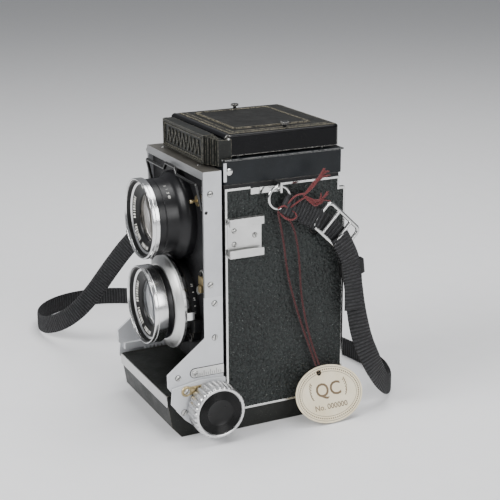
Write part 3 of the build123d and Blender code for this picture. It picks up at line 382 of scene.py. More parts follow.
def add_object(name, mesh, material, body, slot=None):
    """A piece that rides on a body. A slot is looked up from its material unless one is given, but it is not
    stored on the piece.
    """
    slot = slot or next(key for key, materials in SLOT_MATERIALS.items() if material in materials)
    mesh.materials.append(material)
    piece = bpy.data.objects.new(name, mesh)
    bpy.context.collection.objects.link(piece)
    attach(piece, body)
    return piece


def mesh_from(verts, faces, smooth=True):
    mesh = bpy.data.meshes.new("mesh")
    mesh.from_pydata([tuple(v) for v in verts], [], faces)
    mesh.update()
    if smooth:
        mesh.shade_smooth()
        mesh.set_sharp_from_angle(angle=math.radians(35))
    return mesh


def grid_faces(rows, count, closed=True, start=0):
    """Quads between rows of count points each; closed joins the last row to the first."""
    faces = []
    for i in range(rows if closed else rows - 1):
        m = (i + 1) % rows
        for k in range(count):
            j = (k + 1) % count
            corners = (i * count + k, i * count + j, m * count + j, m * count + k)
            faces.append(tuple(start + corner for corner in corners))
    return faces


def mesh_of(made, name):
    """The mesh of a bmesh, which it frees."""
    mesh = bpy.data.meshes.new(name)
    made.to_mesh(mesh)
    made.free()
    return mesh


def lathe(centre, axis, profile, segments=96, flute=None):
    """Closed ring of (radius, along) in mm turned about an axis; flute(angle, radius) may change the radius."""
    verts = []
    along, side = Vector((1, 0, 0)), Vector((0, 1, 0))
    if axis == "Y":
        along, side = side, along
    for k in range(segments):
        angle = 2 * math.pi * k / segments
        ray = side * math.cos(angle) + Vector((0, 0, 1)) * math.sin(angle)
        for radius, shift in profile:
            r = flute(angle, radius) if flute else radius
            verts.append((Vector(centre) + ray * r + along * shift) * MM)
    mesh = mesh_from(verts, grid_faces(segments, len(profile)))
    tidy = bmesh.new()
    tidy.from_mesh(mesh)
    bmesh.ops.remove_doubles(tidy, verts=tidy.verts, dist=1e-6)
    bmesh.ops.recalc_face_normals(tidy, faces=tidy.faces)
    tidy.to_mesh(mesh)
    tidy.free()
    return mesh


def route_points(name, route, resolution=12):
    """Points along the NURBS line whose control points are the route, in metres."""
    curve = bpy.data.curves.new(name, "CURVE")
    curve.dimensions = "3D"
    curve.resolution_u = resolution
    spline = curve.splines.new("NURBS")
    spline.points.add(len(route) - 1)
    for point, place in zip(spline.points, route):
        point.co = (*[c * MM for c in place], 1)
    spline.use_endpoint_u = True
    spline.order_u = 3
    holder = bpy.data.objects.new(name, curve)
    bpy.context.collection.objects.link(holder)
    bpy.context.view_layer.update()
    line = bpy.data.meshes.new_from_object(holder.evaluated_get(bpy.context.evaluated_depsgraph_get()))
    points = [v.co.copy() for v in line.vertices]
    bpy.data.objects.remove(holder)
    bpy.data.meshes.remove(line)
    bpy.data.curves.remove(curve)
    return points


def resampled(points, step):
    """The same line with points a step apart."""
    out, carry = [points[0]], 0.0
    for a, b in zip(points, points[1:]):
        length = (b - a).length
        reach = step - carry
        while reach <= length:
            out.append(a.lerp(b, reach / length))
            reach += step
        carry = (carry + length) % step
    out.append(points[-1])
    return out


def ribbon(points, width, thick, normal_at, rib=0.0, pitch=2.0 * MM):
    """A flat band along points; normal_at(i, tangent) gives the direction its face looks."""
    section = []
    for k in range(14):
        a = 2 * math.pi * k / 14
        section.append((math.copysign(abs(math.cos(a)) ** 0.35, math.cos(a)),
                        math.copysign(abs(math.sin(a)) ** 0.7, math.sin(a))))
    verts, uvs, run = [], [], 0.0
    for i, p in enumerate(points):
        tangent = (points[min(i + 1, len(points) - 1)] - points[max(i - 1, 0)]).normalized()
        normal = normal_at(i, tangent)
        normal = (normal - tangent * normal.dot(tangent)).normalized()
        across = tangent.cross(normal)
        if i:
            run += (p - points[i - 1]).length
        swell = thick / 2 * (1 + rib * math.cos(2 * math.pi * run / pitch))
        for a, b in section:
            verts.append(p + across * (a * width / 2) + normal * (b * swell))
            uvs.append((run / MM, a * width / 2 / MM))
    n = len(section)
    faces = grid_faces(len(points), n, closed=False)
    faces.append(tuple(range(n)))
    faces.append(tuple((len(points) - 1) * n + k for k in reversed(range(n))))
    mesh = mesh_from(verts, faces)
    layer = mesh.uv_layers.new(name="strap")
    for loop in mesh.loops:
        layer.data[loop.index].uv = uvs[loop.vertex_index]
    return mesh


# ---------------------------------------------------------------- strap
STRAP_W, STRAP_T, RIB = 12 * MM, 1.3 * MM, 0.2
strap_route = [
    (-50.5, -12, 120), (-62, -21, 108), (-76, -32, 92), (-90, -42, 76), (-101, -51, 58), (-110, -60, 40),
    (-118, -69, 26), (-130, -77.5, 15.5), (-146, -84, 8.8), (-164.5, -84, 6.4), (-181, -76, 6.1),
    (-192.5, -61.5, 6.1), (-197, -43, 6.1), (-194, -23, 6.1), (-182, -2, 6.1), (-164, 19, 6.1),
               (-142, 37, 6.1),
    (-117, 51.5, 6.1), (-90, 63.5, 6.1), (-62, 73, 6.1), (-34, 80.5, 6.1), (-8, 85, 6.1), (13, 85.6, 6.2),
    (32.8, 78.6, 6.2), (44.6, 68.6, 9.2), (52.2, 58.8, 17.8), (54.6, 51, 30.4), (51.4, 45.7, 44.6),
               (48, 43.6, 60),
    (47.6, 41.5, 76), (48, 38.5, 92), (48, 32, 106.5), (48, 21, 117), (48, 7.5, 124), ]
strap_line = resampled(route_points("strap_route", strap_route), 0.4 * MM)


def strap_face(i, tangent):
    """On edge along the table, turning to face sideways where it climbs to the left ring."""
    level = tangent.cross(Vector((0, 0, 1)))
    share = i / len(strap_line)
    return level + Vector((-1, 0, 0)) * max(0.0, share - 0.8) * 12


strap = add_object("strap_webbing", ribbon(strap_line, STRAP_W, STRAP_T, strap_face, RIB), WEBBING, "body")
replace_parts(strap, "strap")

# ---------------------------------------------------------------- tag cords
cord_front_route = [(46.8, -6.4, 125.2), (45.2, -3.6, 116), (44.0, -1.0, 104), (43.4, 1.2, 89),
                    (43.4, 5.4, 73),
                    (43.6, 10.4, 57), (44.6, 15.2, 43), (45.9, 18.8, 31.6)]
cord_back_route = [(46.9, -3.4, 125.4), (45.8, 3.0, 118), (44.6, 7.0, 105), (43.8, 8.8, 91), (43.6, 9.8, 76),
                   (43.8, 12.6, 60), (44.8, 16.2, 45), (46.4, 20.4, 32.4)]


def twisted(points, radius, turns_per_mm=0.45, strands=2, sides=6):
    """Strands wound round the line of points, one closed tube each."""
    verts, faces = [], []
    for s in range(strands):
        start, run = len(verts), 0.0
        for i, p in enumerate(points):
            tangent = (points[min(i + 1, len(points) - 1)] - points[max(i - 1, 0)]).normalized()
            side = tangent.cross(Vector((1, 0.2, 0))).normalized()
            other = tangent.cross(side)
            if i:
                run += (p - points[i - 1]).length / MM
            phase = 2 * math.pi * (run * turns_per_mm + s / strands)
            hub = p + (side * math.cos(phase) + other * math.sin(phase)) * radius * 0.48
            for k in range(sides):
                a = 2 * math.pi * k / sides
                verts.append(hub + (side * math.cos(a) + other * math.sin(a)) * radius * 0.54)
        faces += grid_faces(len(points), sides, False, start)
        faces.append(tuple(start + k for k in reversed(range(sides))))
        faces.append(tuple(start + (len(points) - 1) * sides + k for k in range(sides)))
    return mesh_from(verts, faces)


CORD_D = 1.4 * MM
for cord_name, cord_route in (("tag_cord_front", cord_front_route), ("tag_cord_back", cord_back_route)):
    line = resampled(route_points(cord_name, cord_route), 0.4 * MM)
    piece = add_object(cord_name + "_twist", twisted(line, CORD_D / 2), RED_CORD, "body")
    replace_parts(piece, cord_name)

# Knot at the split ring with frayed loops and ends above it
bow_routes = [
    [(47.4, -3.2, 127.6), (49.4, -0.5, 131.5), (49.8, 3.5, 135), (49.8, 8.5, 134.5)],
    [(46.9, -5.0, 125.6), (49.2, -0.5, 127.5), (49.8, 4.5, 131), (49.8, 9.5, 133)],
    [(46.9, -5.4, 125.4), (49.4, -4, 122), (49.8, 1.5, 120.5), (49.6, 4.5, 123.5), (48.8, 0, 126.6)],
    [(47.0, -7.0, 127.0), (49.0, -4, 130.0), (48.6, -1, 127.0), (47.0, -3, 124.6), (46.6, -6.4, 125.4)], ]
bow_meshes = [twisted(resampled(route_points("bow", r), 0.5 * MM), CORD_D * 0.45) for r in bow_routes]
for tip in ((49.6, 20.5, 145.0), (49.8, 21.0, 131.0)):
    for k in range(16):
        wide = [random.uniform(-1, 1) for _ in range(6)]
        fibre = [(49.6, 7.5, 133.6),
                 (50.0 + wide[0] * 0.6, 12 + wide[1], (133.6 + tip[2]) / 2 - 2 + wide[2] * 1.6),
                 (49.8 + wide[3] * 0.8, 17 + wide[4] * 1.5, tip[2] - 3 + wide[5] * 2.5),
                 (tip[0] + wide[1] * 0.8, tip[1] + wide[5] * 3.5, tip[2] + wide[3] * 3.2)]
        bow_meshes.append(twisted(resampled(route_points("fibre", fibre, 8), 0.6 * MM), 0.36 * MM, 0.3, 2, 5))
bow = bmesh.new()
for part in bow_meshes:
    bow.from_mesh(part)
bow_mesh = mesh_of(bow, "bow")
bow_mesh.shade_smooth()
knot = add_object("tag_cord_knot", bow_mesh, RED_FRAY, "body")

# ---------------------------------------------------------------- strap slider and keepers
def tube_mesh(points, radius, sides=10, closed=True):
    """A round bar along points."""
    verts = []
    n = len(points)
    for i, p in enumerate(points):
        ahead = points[(i + 1) % n] if closed else points[min(i + 1, n - 1)]
        behind = points[i - 1] if closed or i else points[0]
        tangent = (ahead - behind).normalized()
        side = tangent.cross(Vector((1, 0.13, 0.07))).normalized()
        other = tangent.cross(side)
        for k in range(sides):
            a = 2 * math.pi * k / sides
            verts.append(p + (side * math.cos(a) + other * math.sin(a)) * radius)
    faces = grid_faces(n, sides, closed)
    if not closed:
        faces.append(tuple(reversed(range(sides))))
        faces.append(tuple((n - 1) * sides + k for k in range(sides)))
    return mesh_from(verts, faces)


def joined(name, meshes, material, body, slot=None):
    """One piece made of several meshes."""
    total = bmesh.new()
    for m in meshes:
        total.from_mesh(m)
    bmesh.ops.recalc_face_normals(total, faces=total.faces)
    mesh = mesh_of(total, name)
    mesh.shade_smooth()
    mesh.set_sharp_from_angle(angle=math.radians(40))
    return add_object(name, mesh, material, body, slot)


BUCKLE = Vector((48.6, 28.6, 113.2)) * MM
buckle_long = Vector((0, 0.72, -0.69)).normalized()
buckle_wide = Vector((0, 0.69, 0.72)).normalized()
buckle_out = Vector((1, 0, 0))


def rounded_loop(centre, half_long, half_wide, radius, steps=8):
    """Points of a rounded rectangle in the slider's plane."""
    points = []
    for quadrant in range(4):
        sx, sy = ((1, 1), (-1, 1), (-1, -1), (1, -1))[quadrant]
        for k in range(steps + 1):
            a = math.pi / 2 * (quadrant + k / steps)
            points.append(centre + buckle_long * (sx * (half_long - radius) + radius * math.cos(a))
                          + buckle_wide * (sy * (half_wide - radius) + radius * math.sin(a)))
    return points


def bar(a, b, radius):
    steps = [a.lerp(b, k / 6) for k in range(7)]
    return tube_mesh(steps, radius, closed=False)


slider_parts = [tube_mesh(rounded_loop(BUCKLE, 13.2 * MM, 8.0 * MM, 3 * MM), 1.15 * MM)]
for shift in (-5.2, 5.2):
    middle = BUCKLE + buckle_long * shift * MM + buckle_out * 0.8 * MM
    slider_parts.append(bar(middle - buckle_wide * 7.6 * MM, middle + buckle_wide * 7.6 * MM, 1.1 * MM))
slider = joined("strap_slider", slider_parts, CHROME, "body")
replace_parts(slider, "strap_buckle")


def keeper(centre, along, out):
    """A moulded loop round the strap."""
    along, out = along.normalized(), out.normalized()
    across = along.cross(out).normalized()
    out = across.cross(along)
    verts = []
    ring = [(-4.4, 0), (-4.4, 0.8), (-3.9, 1.25), (3.9, 1.25), (4.4, 0.8), (4.4, 0), (3.6, -0.2),
            (-3.6, -0.2)]
    steps = 40
    for k in range(steps):
        a = 2 * math.pi * k / steps
        ca, sa = math.cos(a), math.sin(a)
        wide = math.copysign(abs(ca) ** 0.3, ca)
        high = math.copysign(abs(sa) ** 0.5, sa)
        for shift, swell in ring:
            verts.append(centre + along * shift * MM + across * wide * (6.3 + swell) * MM
                         + out * high * (1.5 + swell) * MM)
    return mesh_from(verts, grid_faces(steps, len(ring)))


keepers = joined("strap_keeper_loops", [
    keeper(Vector((48, 39.6, 88)) * MM, Vector((0, 0.12, -1)), Vector((1, 0, 0))),
    keeper(Vector((-84, -37.6, 82.6)) * MM, Vector((-0.57, -0.43, -0.69)), Vector((0.6, -0.8, 0))),
], PLASTIC, "body")
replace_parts(keepers, "strap_keepers")

# Loose end of the strap below the left keeper, over the outer layer
tail_route = [(49.8, 30, 108.5), (50.2, 36, 98), (50.2, 39.0, 88), (50.4, 39.8, 76), (51.4, 39.4, 64)]
tail_line = resampled(route_points("tail", tail_route), 0.4 * MM)
tail = add_object("strap_tail",
                  ribbon(tail_line, STRAP_W * 0.97, STRAP_T, lambda i, t: Vector((1, 0, 0)), RIB),
                  WEBBING, "body")


def ring_fold(name, route, across):
    """The end of the strap folded through its ring."""
    line = resampled(route_points(name, route), 0.3 * MM)
    side = Vector(across).normalized()
    return add_object(name, ribbon(line, STRAP_W * 0.94, STRAP_T, lambda i, t: t.cross(side), RIB), WEBBING,
                      "body")


fold_left = ring_fold("strap_fold_left", [
    (49.2, 19, 118.3), (49.1, 9, 123.8), (48.9, 2.0, 127.2), (48.6, -1.4, 129.2), (47.6, -3.0, 130.2),
    (46.2, -3.0, 130.2), (45.3, -1.4, 129.2), (45.2, 3, 127.0), (46.2, 10, 123.4)], (0, 0.46, 0.887))
fold_right = ring_fold("strap_fold_right", [
    (-52.4, -14.2, 117.2), (-50.2, -10.2, 122.4), (-48.4, -6.8, 126.8), (-47.4, -5.6, 128.6),
    (-46.2, -5.2, 128.8), (-45.4, -5.8, 127.4), (-46.0, -8.0, 124.0), (-48.4, -11.6, 119.6)],
    (-0.29, 0.77, -0.31))

# ---------------------------------------------------------------- paper tag
TAG_LOW = Vector((58.4, 24, 0.6)) * MM
tag_up = Vector((-13.2, 0, 30.2)).normalized()
tag_side = Vector((0, 1, 0))
tag_out = tag_side.cross(tag_up)
TAG_LONG, TAG_SHORT = 43 * MM, 33 * MM
TAG_MID = TAG_LOW + tag_up * TAG_SHORT / 2


def tag_point(u, v, lift=0.0):
    """A place on the tag: u along its long side, v up it, in mm, on its gently curled face."""
    curl = 0.0016 * u * u
    return TAG_MID + tag_side * u * MM + tag_up * v * MM + tag_out * (curl + lift) * MM


def tag_mesh():
    """Oval card with an eyelet hole."""
    hole_u, hole_v, hole_r = -4.0, 12.6, 1.6
    rings, steps = 9, 96
    verts, faces = [], []
    for face_lift in (0.5, 0.05):
        for ring_index in range(rings + 1):
            t = ring_index / rings
            for k in range(steps):
                a = 2 * math.pi * k / steps
                outer = (TAG_LONG / MM / 2 * math.cos(a), TAG_SHORT / MM / 2 * math.sin(a))
                inner = (hole_u + hole_r * math.cos(a), hole_v + hole_r * math.sin(a))
                u = inner[0] + (outer[0] - inner[0]) * t
                v = inner[1] + (outer[1] - inner[1]) * t
                verts.append(tag_point(u, v, face_lift))
    layer = (rings + 1) * steps
    for side in (0, 1):
        for ring_index in range(rings):
            for k in range(steps):
                m = (k + 1) % steps
                a, b = side * layer + ring_index * steps, side * layer + (ring_index + 1) * steps
                faces.append((a + k, a + m, b + m, b + k) if side else (a + k, b + k, b + m, a + m))
    for ring_index in (0, rings):
        for k in range(steps):
            m = (k + 1) % steps
            a, b = ring_index * steps, layer + ring_index * steps
            faces.append((a + k, a + m, b + m, b + k) if ring_index else (a + k, b + k, b + m, a + m))
    return mesh_from(verts, faces)


tag = add_object("paper_tag", tag_mesh(), PAPER, "body")
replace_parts(tag, "tag")


def flat_dots(spots, radius, lift, sides=10):
    """Small printed discs on the tag."""
    verts, faces = [], []
    for u, v in spots:
        start = len(verts)
        for k in range(sides):
            a = 2 * math.pi * k / sides
            verts.append(tag_point(u + radius * math.cos(a), v + radius * math.sin(a), lift))
        verts.append(tag_point(u, v, lift + 0.03))
        faces += [(start + k, start + (k + 1) % sides, start + sides) for k in range(sides)]
    return mesh_from(verts, faces)


def printed_line(points, width, lift):
    """A printed stroke through (u, v) points on the tag."""
    verts, faces = [], []
    for i, (u, v) in enumerate(points):
        u1, v1 = points[min(i + 1, len(points) - 1)]
        u0, v0 = points[max(i - 1, 0)]
        length = math.hypot(u1 - u0, v1 - v0) or 1.0
        nu, nv = -(v1 - v0) / length * width / 2, (u1 - u0) / length * width / 2
        verts += [tag_point(u + nu, v + nv, lift), tag_point(u - nu, v - nv, lift)]
    faces = [(2 * i, 2 * i + 1, 2 * i + 3, 2 * i + 2) for i in range(len(points) - 1)]
    return mesh_from(verts, faces)


def ellipse(a, b, start=0, stop=360, steps=90):
    return [(a * math.cos(math.radians(start + (stop - start) * k / steps)),
             b * math.sin(math.radians(start + (stop - start) * k / steps))) for k in range(steps + 1)]


PRINT_LIFT = 0.53
prints = [flat_dots(ellipse(19.0, 14.0, steps=84)[:-1], 0.42, PRINT_LIFT),
          printed_line(ellipse(20.3, 15.3), 0.25, PRINT_LIFT),
          printed_line(ellipse(17.7, 12.7), 0.25, PRINT_LIFT)]


def lettering(text, size):
    """Flat mesh of a short text in mm, centred on the origin: (points, faces)."""
    curve = bpy.data.curves.new("lettering", "FONT")
    curve.body, curve.size = text, size
    curve.align_x = curve.align_y = "CENTER"
    curve.resolution_u = 3
    curve.offset = size * 0.012
    holder = bpy.data.objects.new("lettering", curve)
    bpy.context.collection.objects.link(holder)
    bpy.context.view_layer.update()
    flat = bpy.data.meshes.new_from_object(holder.evaluated_get(bpy.context.evaluated_depsgraph_get()))
    points = [tuple(v.co) for v in flat.vertices]
    faces = [tuple(f.vertices) for f in flat.polygons]
    bpy.data.objects.remove(holder)
    bpy.data.curves.remove(curve)
    bpy.data.meshes.remove(flat)
    return points, faces


def printed_text(text, size, u, v, lift):
    points, faces = lettering(text, size)
    return mesh_from([tag_point(u + x, v + y, lift) for x, y, z in points], faces, smooth=False)


prints.append(printed_text("No. 000000", 4.4, 0, -7.2, PRINT_LIFT))
prints.append(printed_text("QC", 11.0, 0, 2.2, PRINT_LIFT))
for side in (-1, 1):
    for k in range(7):
        a = math.radians(-50 + 17 * k)
        u, v = side * (8.4 + 2.6 * math.cos(a)), 1.8 + 5.4 * math.sin(a)
        stem = [(u, v), (u + side * 0.8, v + 0.8), (u + side * 1.0, v + 1.7)]
        prints.append(printed_line(stem, 0.55, PRINT_LIFT))
tag_print = joined("tag_print", prints, INK, "body")

# ---------------------------------------------------------------- lenses
LOW_Z, HIGH_Z = 67.9, 117.9
FRONT_Y, SEAT_Y = -68.8, -43.9


def round_about(z, profile, segments=128):
    return lathe((0, 0, z), "Y", profile, segments)


def dome(z, front, back, radius, bulge):
    """A closed lens element: domed front, flat back."""
    arc = [(radius * k / 10, front - bulge * (1 - (k / 10) ** 2)) for k in range(11)]
    return round_about(z, [(0, arc[0][1])] + arc[1:] + [(radius, back), (0, back)])


def ring_marks(z, groups, radius, front, slope, size):
    """Short pale strokes round a retaining ring, grouped like an inscription."""
    verts, faces = [], []
    for start, count in groups:
        for k in range(count):
            angle = math.radians(start + k * 5.2)
            for shift, tall in ((-0.9, 0.8), (0.9, 1.0)) if k % 3 else ((0, 1.0),):
                mid = angle + math.radians(shift)
                n = len(verts)
                for da, dr in ((-0.22, -1), (0.22, -1), (0.22, 1), (-0.22, 1)):
                    r = radius + dr * size * tall
                    t = mid + da * size / radius
                    y = front + slope * (radius - r)
                    verts.append(Vector((math.cos(t) * r, y, z + math.sin(t) * r)) * MM)
                faces.append((n, n + 1, n + 2, n + 3))
    return mesh_from(verts, faces, smooth=False)


barrel_profile = [(19.0, -64.3), (21.0, -64.3), (21.4, -64.0), (21.4, -60.4), (21.15, -60.2), (21.15, -59.9),
                  (21.4, -59.7), (21.4, -53.2), (21.8, -52.0), (22.6, -50.9), (23.8, -49.7), (24.6, -48.7),
                  (24.9, -47.6), (24.9, SEAT_Y), (19.5, SEAT_Y), (19.5, -37.8), (16.6, -37.8), (16.6, -50.0),
                  (18.2, -57.6)]
barrel = add_object("viewing_lens_barrel", round_about(HIGH_Z, barrel_profile), BLACK_MATTE, "standard")
rim_profile = [(18.9, -64.4), (22.3, -64.4), (22.6, -64.7), (22.6, -66.6), (22.4, -66.8), (22.6, -67.0),
               (22.6, -68.2), (22.4, -68.65), (22.0, FRONT_Y), (21.6, -68.6), (21.2, -67.8), (21.1, -66.0),
               (18.9, -65.0)]
rim = add_object("viewing_lens_rim", round_about(HIGH_Z, rim_profile), BRIGHT, "standard")
retainer_profile = [(21.15, -67.5), (20.9, -67.4), (20.5, -66.6), (20.1, -65.5), (19.6, -65.2), (14.0, -63.2),
                    (13.5, -62.9), (13.1, -62.4), (13.1, -61.6), (18.8, -61.6), (21.0, -65.6)]
tube_profile = [(13.3, -61.8), (13.3, -52.0), (12.9, -52.0), (12.9, -54.0), (12.3, -54.2), (12.3, -56.0),
                (12.9, -56.2), (12.9, -61.8)]
for label, z, glass in (("viewing", HIGH_Z, AMBER_GLASS), ("taking", LOW_Z, BLUE_GLASS)):
    add_object(label + "_retainer", round_about(z, retainer_profile), PLASTIC, "standard", "black_paint")
    marks = ring_marks(z, ((150, 9), (206, 7), (250, 6), (20, 8), (75, 6)), 17.2, -64.42, 0.357, 0.95)
    add_object(label + "_ring_marks", marks, PALE_INK, "standard")
    joined(label + "_inner_tube", [round_about(z, tube_profile)], BLACK_MATTE, "standard")
    front_glass = add_object(label + "_front_glass", dome(z, -62.3, -61.2, 13.2, 1.7), glass, "standard",
                             "glass")
    add_object(label + "_rear_element", dome(z, -55.6, -54.4, 12.8, 3.0),
               AMBER_MIRROR if z == HIGH_Z else GREEN_MIRROR, "standard", "glass")
    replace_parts(front_glass, label + "_glass")
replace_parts(barrel, "viewing_barrel")

low_rim_profile = [(18.9, -60.6), (21.8, -60.6), (22.2, -60.9), (22.3, -61.3), (22.3, -66.3), (22.1, -66.5),
                   (22.3, -66.7), (22.3, -68.2), (22.1, -68.65), (21.8, FRONT_Y), (21.5, -68.6),
                   (21.2, -67.8),
                   (21.1, -66.0), (18.9, -65.0)]
low_rim = add_object("taking_lens_rim", round_about(LOW_Z, low_rim_profile), BRIGHT, "standard")
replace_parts(low_rim, "taking_barrel")
add_object("taking_groove", round_about(LOW_Z, [
    (13.2, -60.6), (20.9, -60.6), (21.0, -60.4), (20.7, -59.0), (21.0, -57.3), (20.0, -57.1), (20.0, -48.7),
    (13.2, -48.7)]), BLACK_MATTE, "standard")
dial = add_object("speed_dial", round_about(LOW_Z, [
    (20.2, -57.0), (21.5, -57.0), (21.9, -56.8), (25.9, -54.0), (26.2, -53.7), (26.7, -53.6), (27.0, -53.3),
    (27.0, -51.9), (26.7, -51.6), (24.3, -50.75), (20.2, -50.75)]), SATIN_CHROME, "speed_ring")
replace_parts(dial, "speed_ring")


def on_drum(z, radius, y_mid, degrees, points, faces):
    """Bend flat lettering round a drum about a lens axis; degrees is where its middle sits."""
    bent = []
    for x, y, _ in points:
        t = math.radians(degrees) - x / radius
        bent.append(Vector((math.cos(t) * radius, y_mid - y, z + math.sin(t) * radius)) * MM)
    return mesh_from(bent, [tuple(reversed(f)) for f in faces], smooth=False)


def stroke(width, height):
    return ([(-width / 2, -height / 2, 0), (width / 2, -height / 2, 0), (width / 2, height / 2, 0),
             (-width / 2, height / 2, 0)], [(0, 1, 2, 3)])


dial_marks = []
for k, text in enumerate(("B", "1", "2", "5", "10", "25", "50", "100", "250", "500")):
    dial_marks.append(on_drum(LOW_Z, 27.04, -52.35, 60 - 10 * k, *lettering(text, 1.15)))
    dial_marks.append(on_drum(LOW_Z, 27.04, -53.15, 60 - 10 * k, *stroke(0.16, 0.3)))
joined("speed_dial_marks", dial_marks, DARK_INK_AND_SHADE, "speed_ring")
barrel_marks = [on_drum(HIGH_Z, 21.45, -56.2, 64 - 7 * k, *lettering(text, 1.9)) for k, text in
                enumerate(("1", ":", "2", "80"))]
joined("barrel_marks", barrel_marks, PALE_INK, "standard")
scale_profile = [(24.4, -48.5), (24.7, -48.4), (24.9, -48.1), (24.9, -44.2), (24.4, -44.2)]
add_object("shutter_scale", round_about(LOW_Z, scale_profile, 96), BLACK_PAINT, "standard")
scale_marks = [on_drum(LOW_Z, 24.95, -46.2, 35 - 9 * k, *lettering(text, 1.5)) for k, text in
               enumerate(("3.5", "4", "5.6", "8", "11", "16", "22", "32"))]
joined("shutter_scale_marks", scale_marks, PALE_INK, "standard")


# ---------------------------------------------------------------- small fittings
def soft_box(low, high, bevel=0.25, segments=2):
    """A box with rounded edges, low and high in mm."""
    made = bmesh.new()
    bmesh.ops.create_cube(made, size=1.0)
    for v in made.verts:
        v.co = Vector([(low[i] + high[i]) / 2 + v.co[i] * (high[i] - low[i]) for i in range(3)]) * MM
    bmesh.ops.bevel(made, geom=list(made.edges), offset=bevel * MM, segments=segments, affect="EDGES")
    return mesh_of(made, "box")


def small_turned(centre, axis, profile, segments=48):
    """A small turned piece; the profile is (radius, along) in mm."""
    return lathe(centre, axis, profile, segments)


def screw_x(x, y, z, r, side=1):
    """A plain domed screw head facing along X."""
    outline = ((0, 0), (r, 0), (r, 0.25), (r * 0.85, 0.5), (r * 0.5, 0.62), (0, 0.66))
    return small_turned((x, y, z), "X", [(radius, side * h) for radius, h in outline], 32)


def upright(x, y, z, profile, segments=32):
    """A closed turned piece about a vertical line."""
    made = bmesh.new()
    turns = [2 * math.pi * k / segments for k in range(segments)]
    rows = [[made.verts.new(Vector((x + r * math.cos(a), y + r * math.sin(a), z + h)) * MM) for a in turns]
            for r, h in profile]
    for a, b in zip(rows, rows[1:]):
        for k in range(segments):
            m = (k + 1) % segments
            made.faces.new((a[k], a[m], b[m], b[k]))
    made.faces.new(list(reversed(rows[0])))
    bmesh.ops.remove_doubles(made, verts=made.verts, dist=1e-6)
    return mesh_of(made, "upright")


cap_profile = [(1.2 * r, h) for r, h in ((1, 0), (1, 0.15), (0.8, 0.32), (0.45, 0.4), (0, 0.42))]
joined("top_bar_screws", [upright(x, y, 150, cap_profile, 24) for x, y in ((-29.6, -41.1), (21.7, -41.0))],
       STEEL, "standard")
pin_profiles = ([(0, -46.4), (2.9, -46.4), (3.1, -46.1), (3.1, -44.0), (0, -44.0)],
                [(0, -50.4), (0.8, -50.4), (1.1, -50.1), (1.1, -48.8), (0.7, -48.6), (0.7, -46.3),
                 (0, -46.3)])
brass_pin = [small_turned((30, 0, 132.5), "Y", profile) for profile in pin_profiles]
joined("focus_lock_pin", brass_pin, BRASS, "standard")
joined("lock_bracket", [soft_box((30.5, -46.6, 86.0), (36.2, -44.0, 91.0)),
                        soft_box((33.5, -48.2, 82.6), (36.4, -44.0, 86.6))], BRASS, "standard")
joined("strip_plate", [soft_box((36.8, -46.4, 131.0), (38.2, -41.6, 142.0), 0.2)], GREY_PAINT, "standard")
joined("strip_plate_screws", [screw_x(36.8, -44, z, 0.9, -1) for z in (133.4, 139.6)], STEEL, "standard")
button_profile = [(0, 0), (2.0, 0), (2.2, -0.4), (2.2, -1.6), (1.9, -2.0), (0, -2.1)]
joined("bar_button", [small_turned((-39.9, -44.8, 146.4), "X", button_profile)], STEEL, "standard")
joined("finder_lock_plate", [soft_box((39.4, -35.0, 143.4), (40.0, -33.2, 153.6), 0.15)], GREY_PAINT, "body")
joined("finder_lock_screw", [screw_x(39.5, -31.6, 148.8, 2.0)], CHROME, "body")
lip_corners = ((-40.1, -35.2, 40.1, -34.2), (39.3, -35.2, 40.1, 37.6), (-40.1, -35.2, -39.3, 37.6),
               (-40.1, 37.0, 40.1, 37.9))
joined("finder_lip", [soft_box((x0, y0, 154.3), (x1, y1, 155.2), 0.2) for x0, y0, x1, y1 in lip_corners],
       FINDER_BLACK, "body")

# Hood lid: dull top covering with a framed raised square and terraces at its front
lid_pieces = [soft_box((-34.6, -28.6, 167.6), (34.6, 35.4, 167.95), 0.15)]
for k, (y0, y1) in enumerate(((-28.2, -25.9), (-25.9, -23.8))):
    low, high = (-33.6 + 2.4 * k, y0, 167.8), (33.6 - 2.4 * k, 34 - 2 * k, 168.15 + 0.2 * k)
    lid_pieces.append(soft_box(low, high, 0.15))
lid_pieces.append(soft_box((-26.2, -22.2, 168.1), (26.2, 24.2, 168.75), 0.2))
for low, high in (((-26.2, -22.2), (26.2, -21.0)), ((-26.2, 23.0), (26.2, 24.2)),
                  ((-26.2, -22.2), (-25.0, 24.2)), ((25.0, -22.2), (26.2, 24.2))):
    lid_pieces.append(soft_box((*low, 168.6), (*high, 169.1), 0.2))
joined("lid_covering", lid_pieces, LID_TOP, "hood_lid")
stud_profile = [(1.7, 0), (1.7, 0.3), (0.9, 0.6), (0.8, 1.9), (1.9, 2.2), (2.3, 2.5), (2.2, 2.9), (1.2, 3.2),
                (0, 3.3)]


joined("lid_studs", [upright(x, 5.5, 167.65, stud_profile) for x in (-31.5, 31.5)], CHROME, "hood_lid")


def slotted_x(x, y, z, r, turn, side=1):
    """A screw head facing along X as two halves either side of its slot."""
    halves = []
    for half in (0, 1):
        made = bmesh.new()
        rows = []
        for radius, h in ((r, 0.0), (r, 0.35), (r * 0.86, 0.6), (r * 0.5, 0.72)):
            row = []
            for k in range(13):
                a = math.pi * k / 12
                u = radius * math.cos(a)
                v = max(radius * math.sin(a), r * 0.16) * (1 if half else -1)
                c, q = math.cos(turn), math.sin(turn)
                row.append(made.verts.new(Vector((x + side * h, y + u * c - v * q, z + u * q + v * c)) * MM))
            rows.append(row)
        for a, b in zip(rows, rows[1:]):
            for k in range(12):
                made.faces.new((a[k], a[k + 1], b[k + 1], b[k]))
            made.faces.new((a[12], a[0], b[0], b[12]))
        made.faces.new(rows[-1])
        made.faces.new(list(reversed(rows[0])))
        halves.append(mesh_of(made, "half"))
    return halves


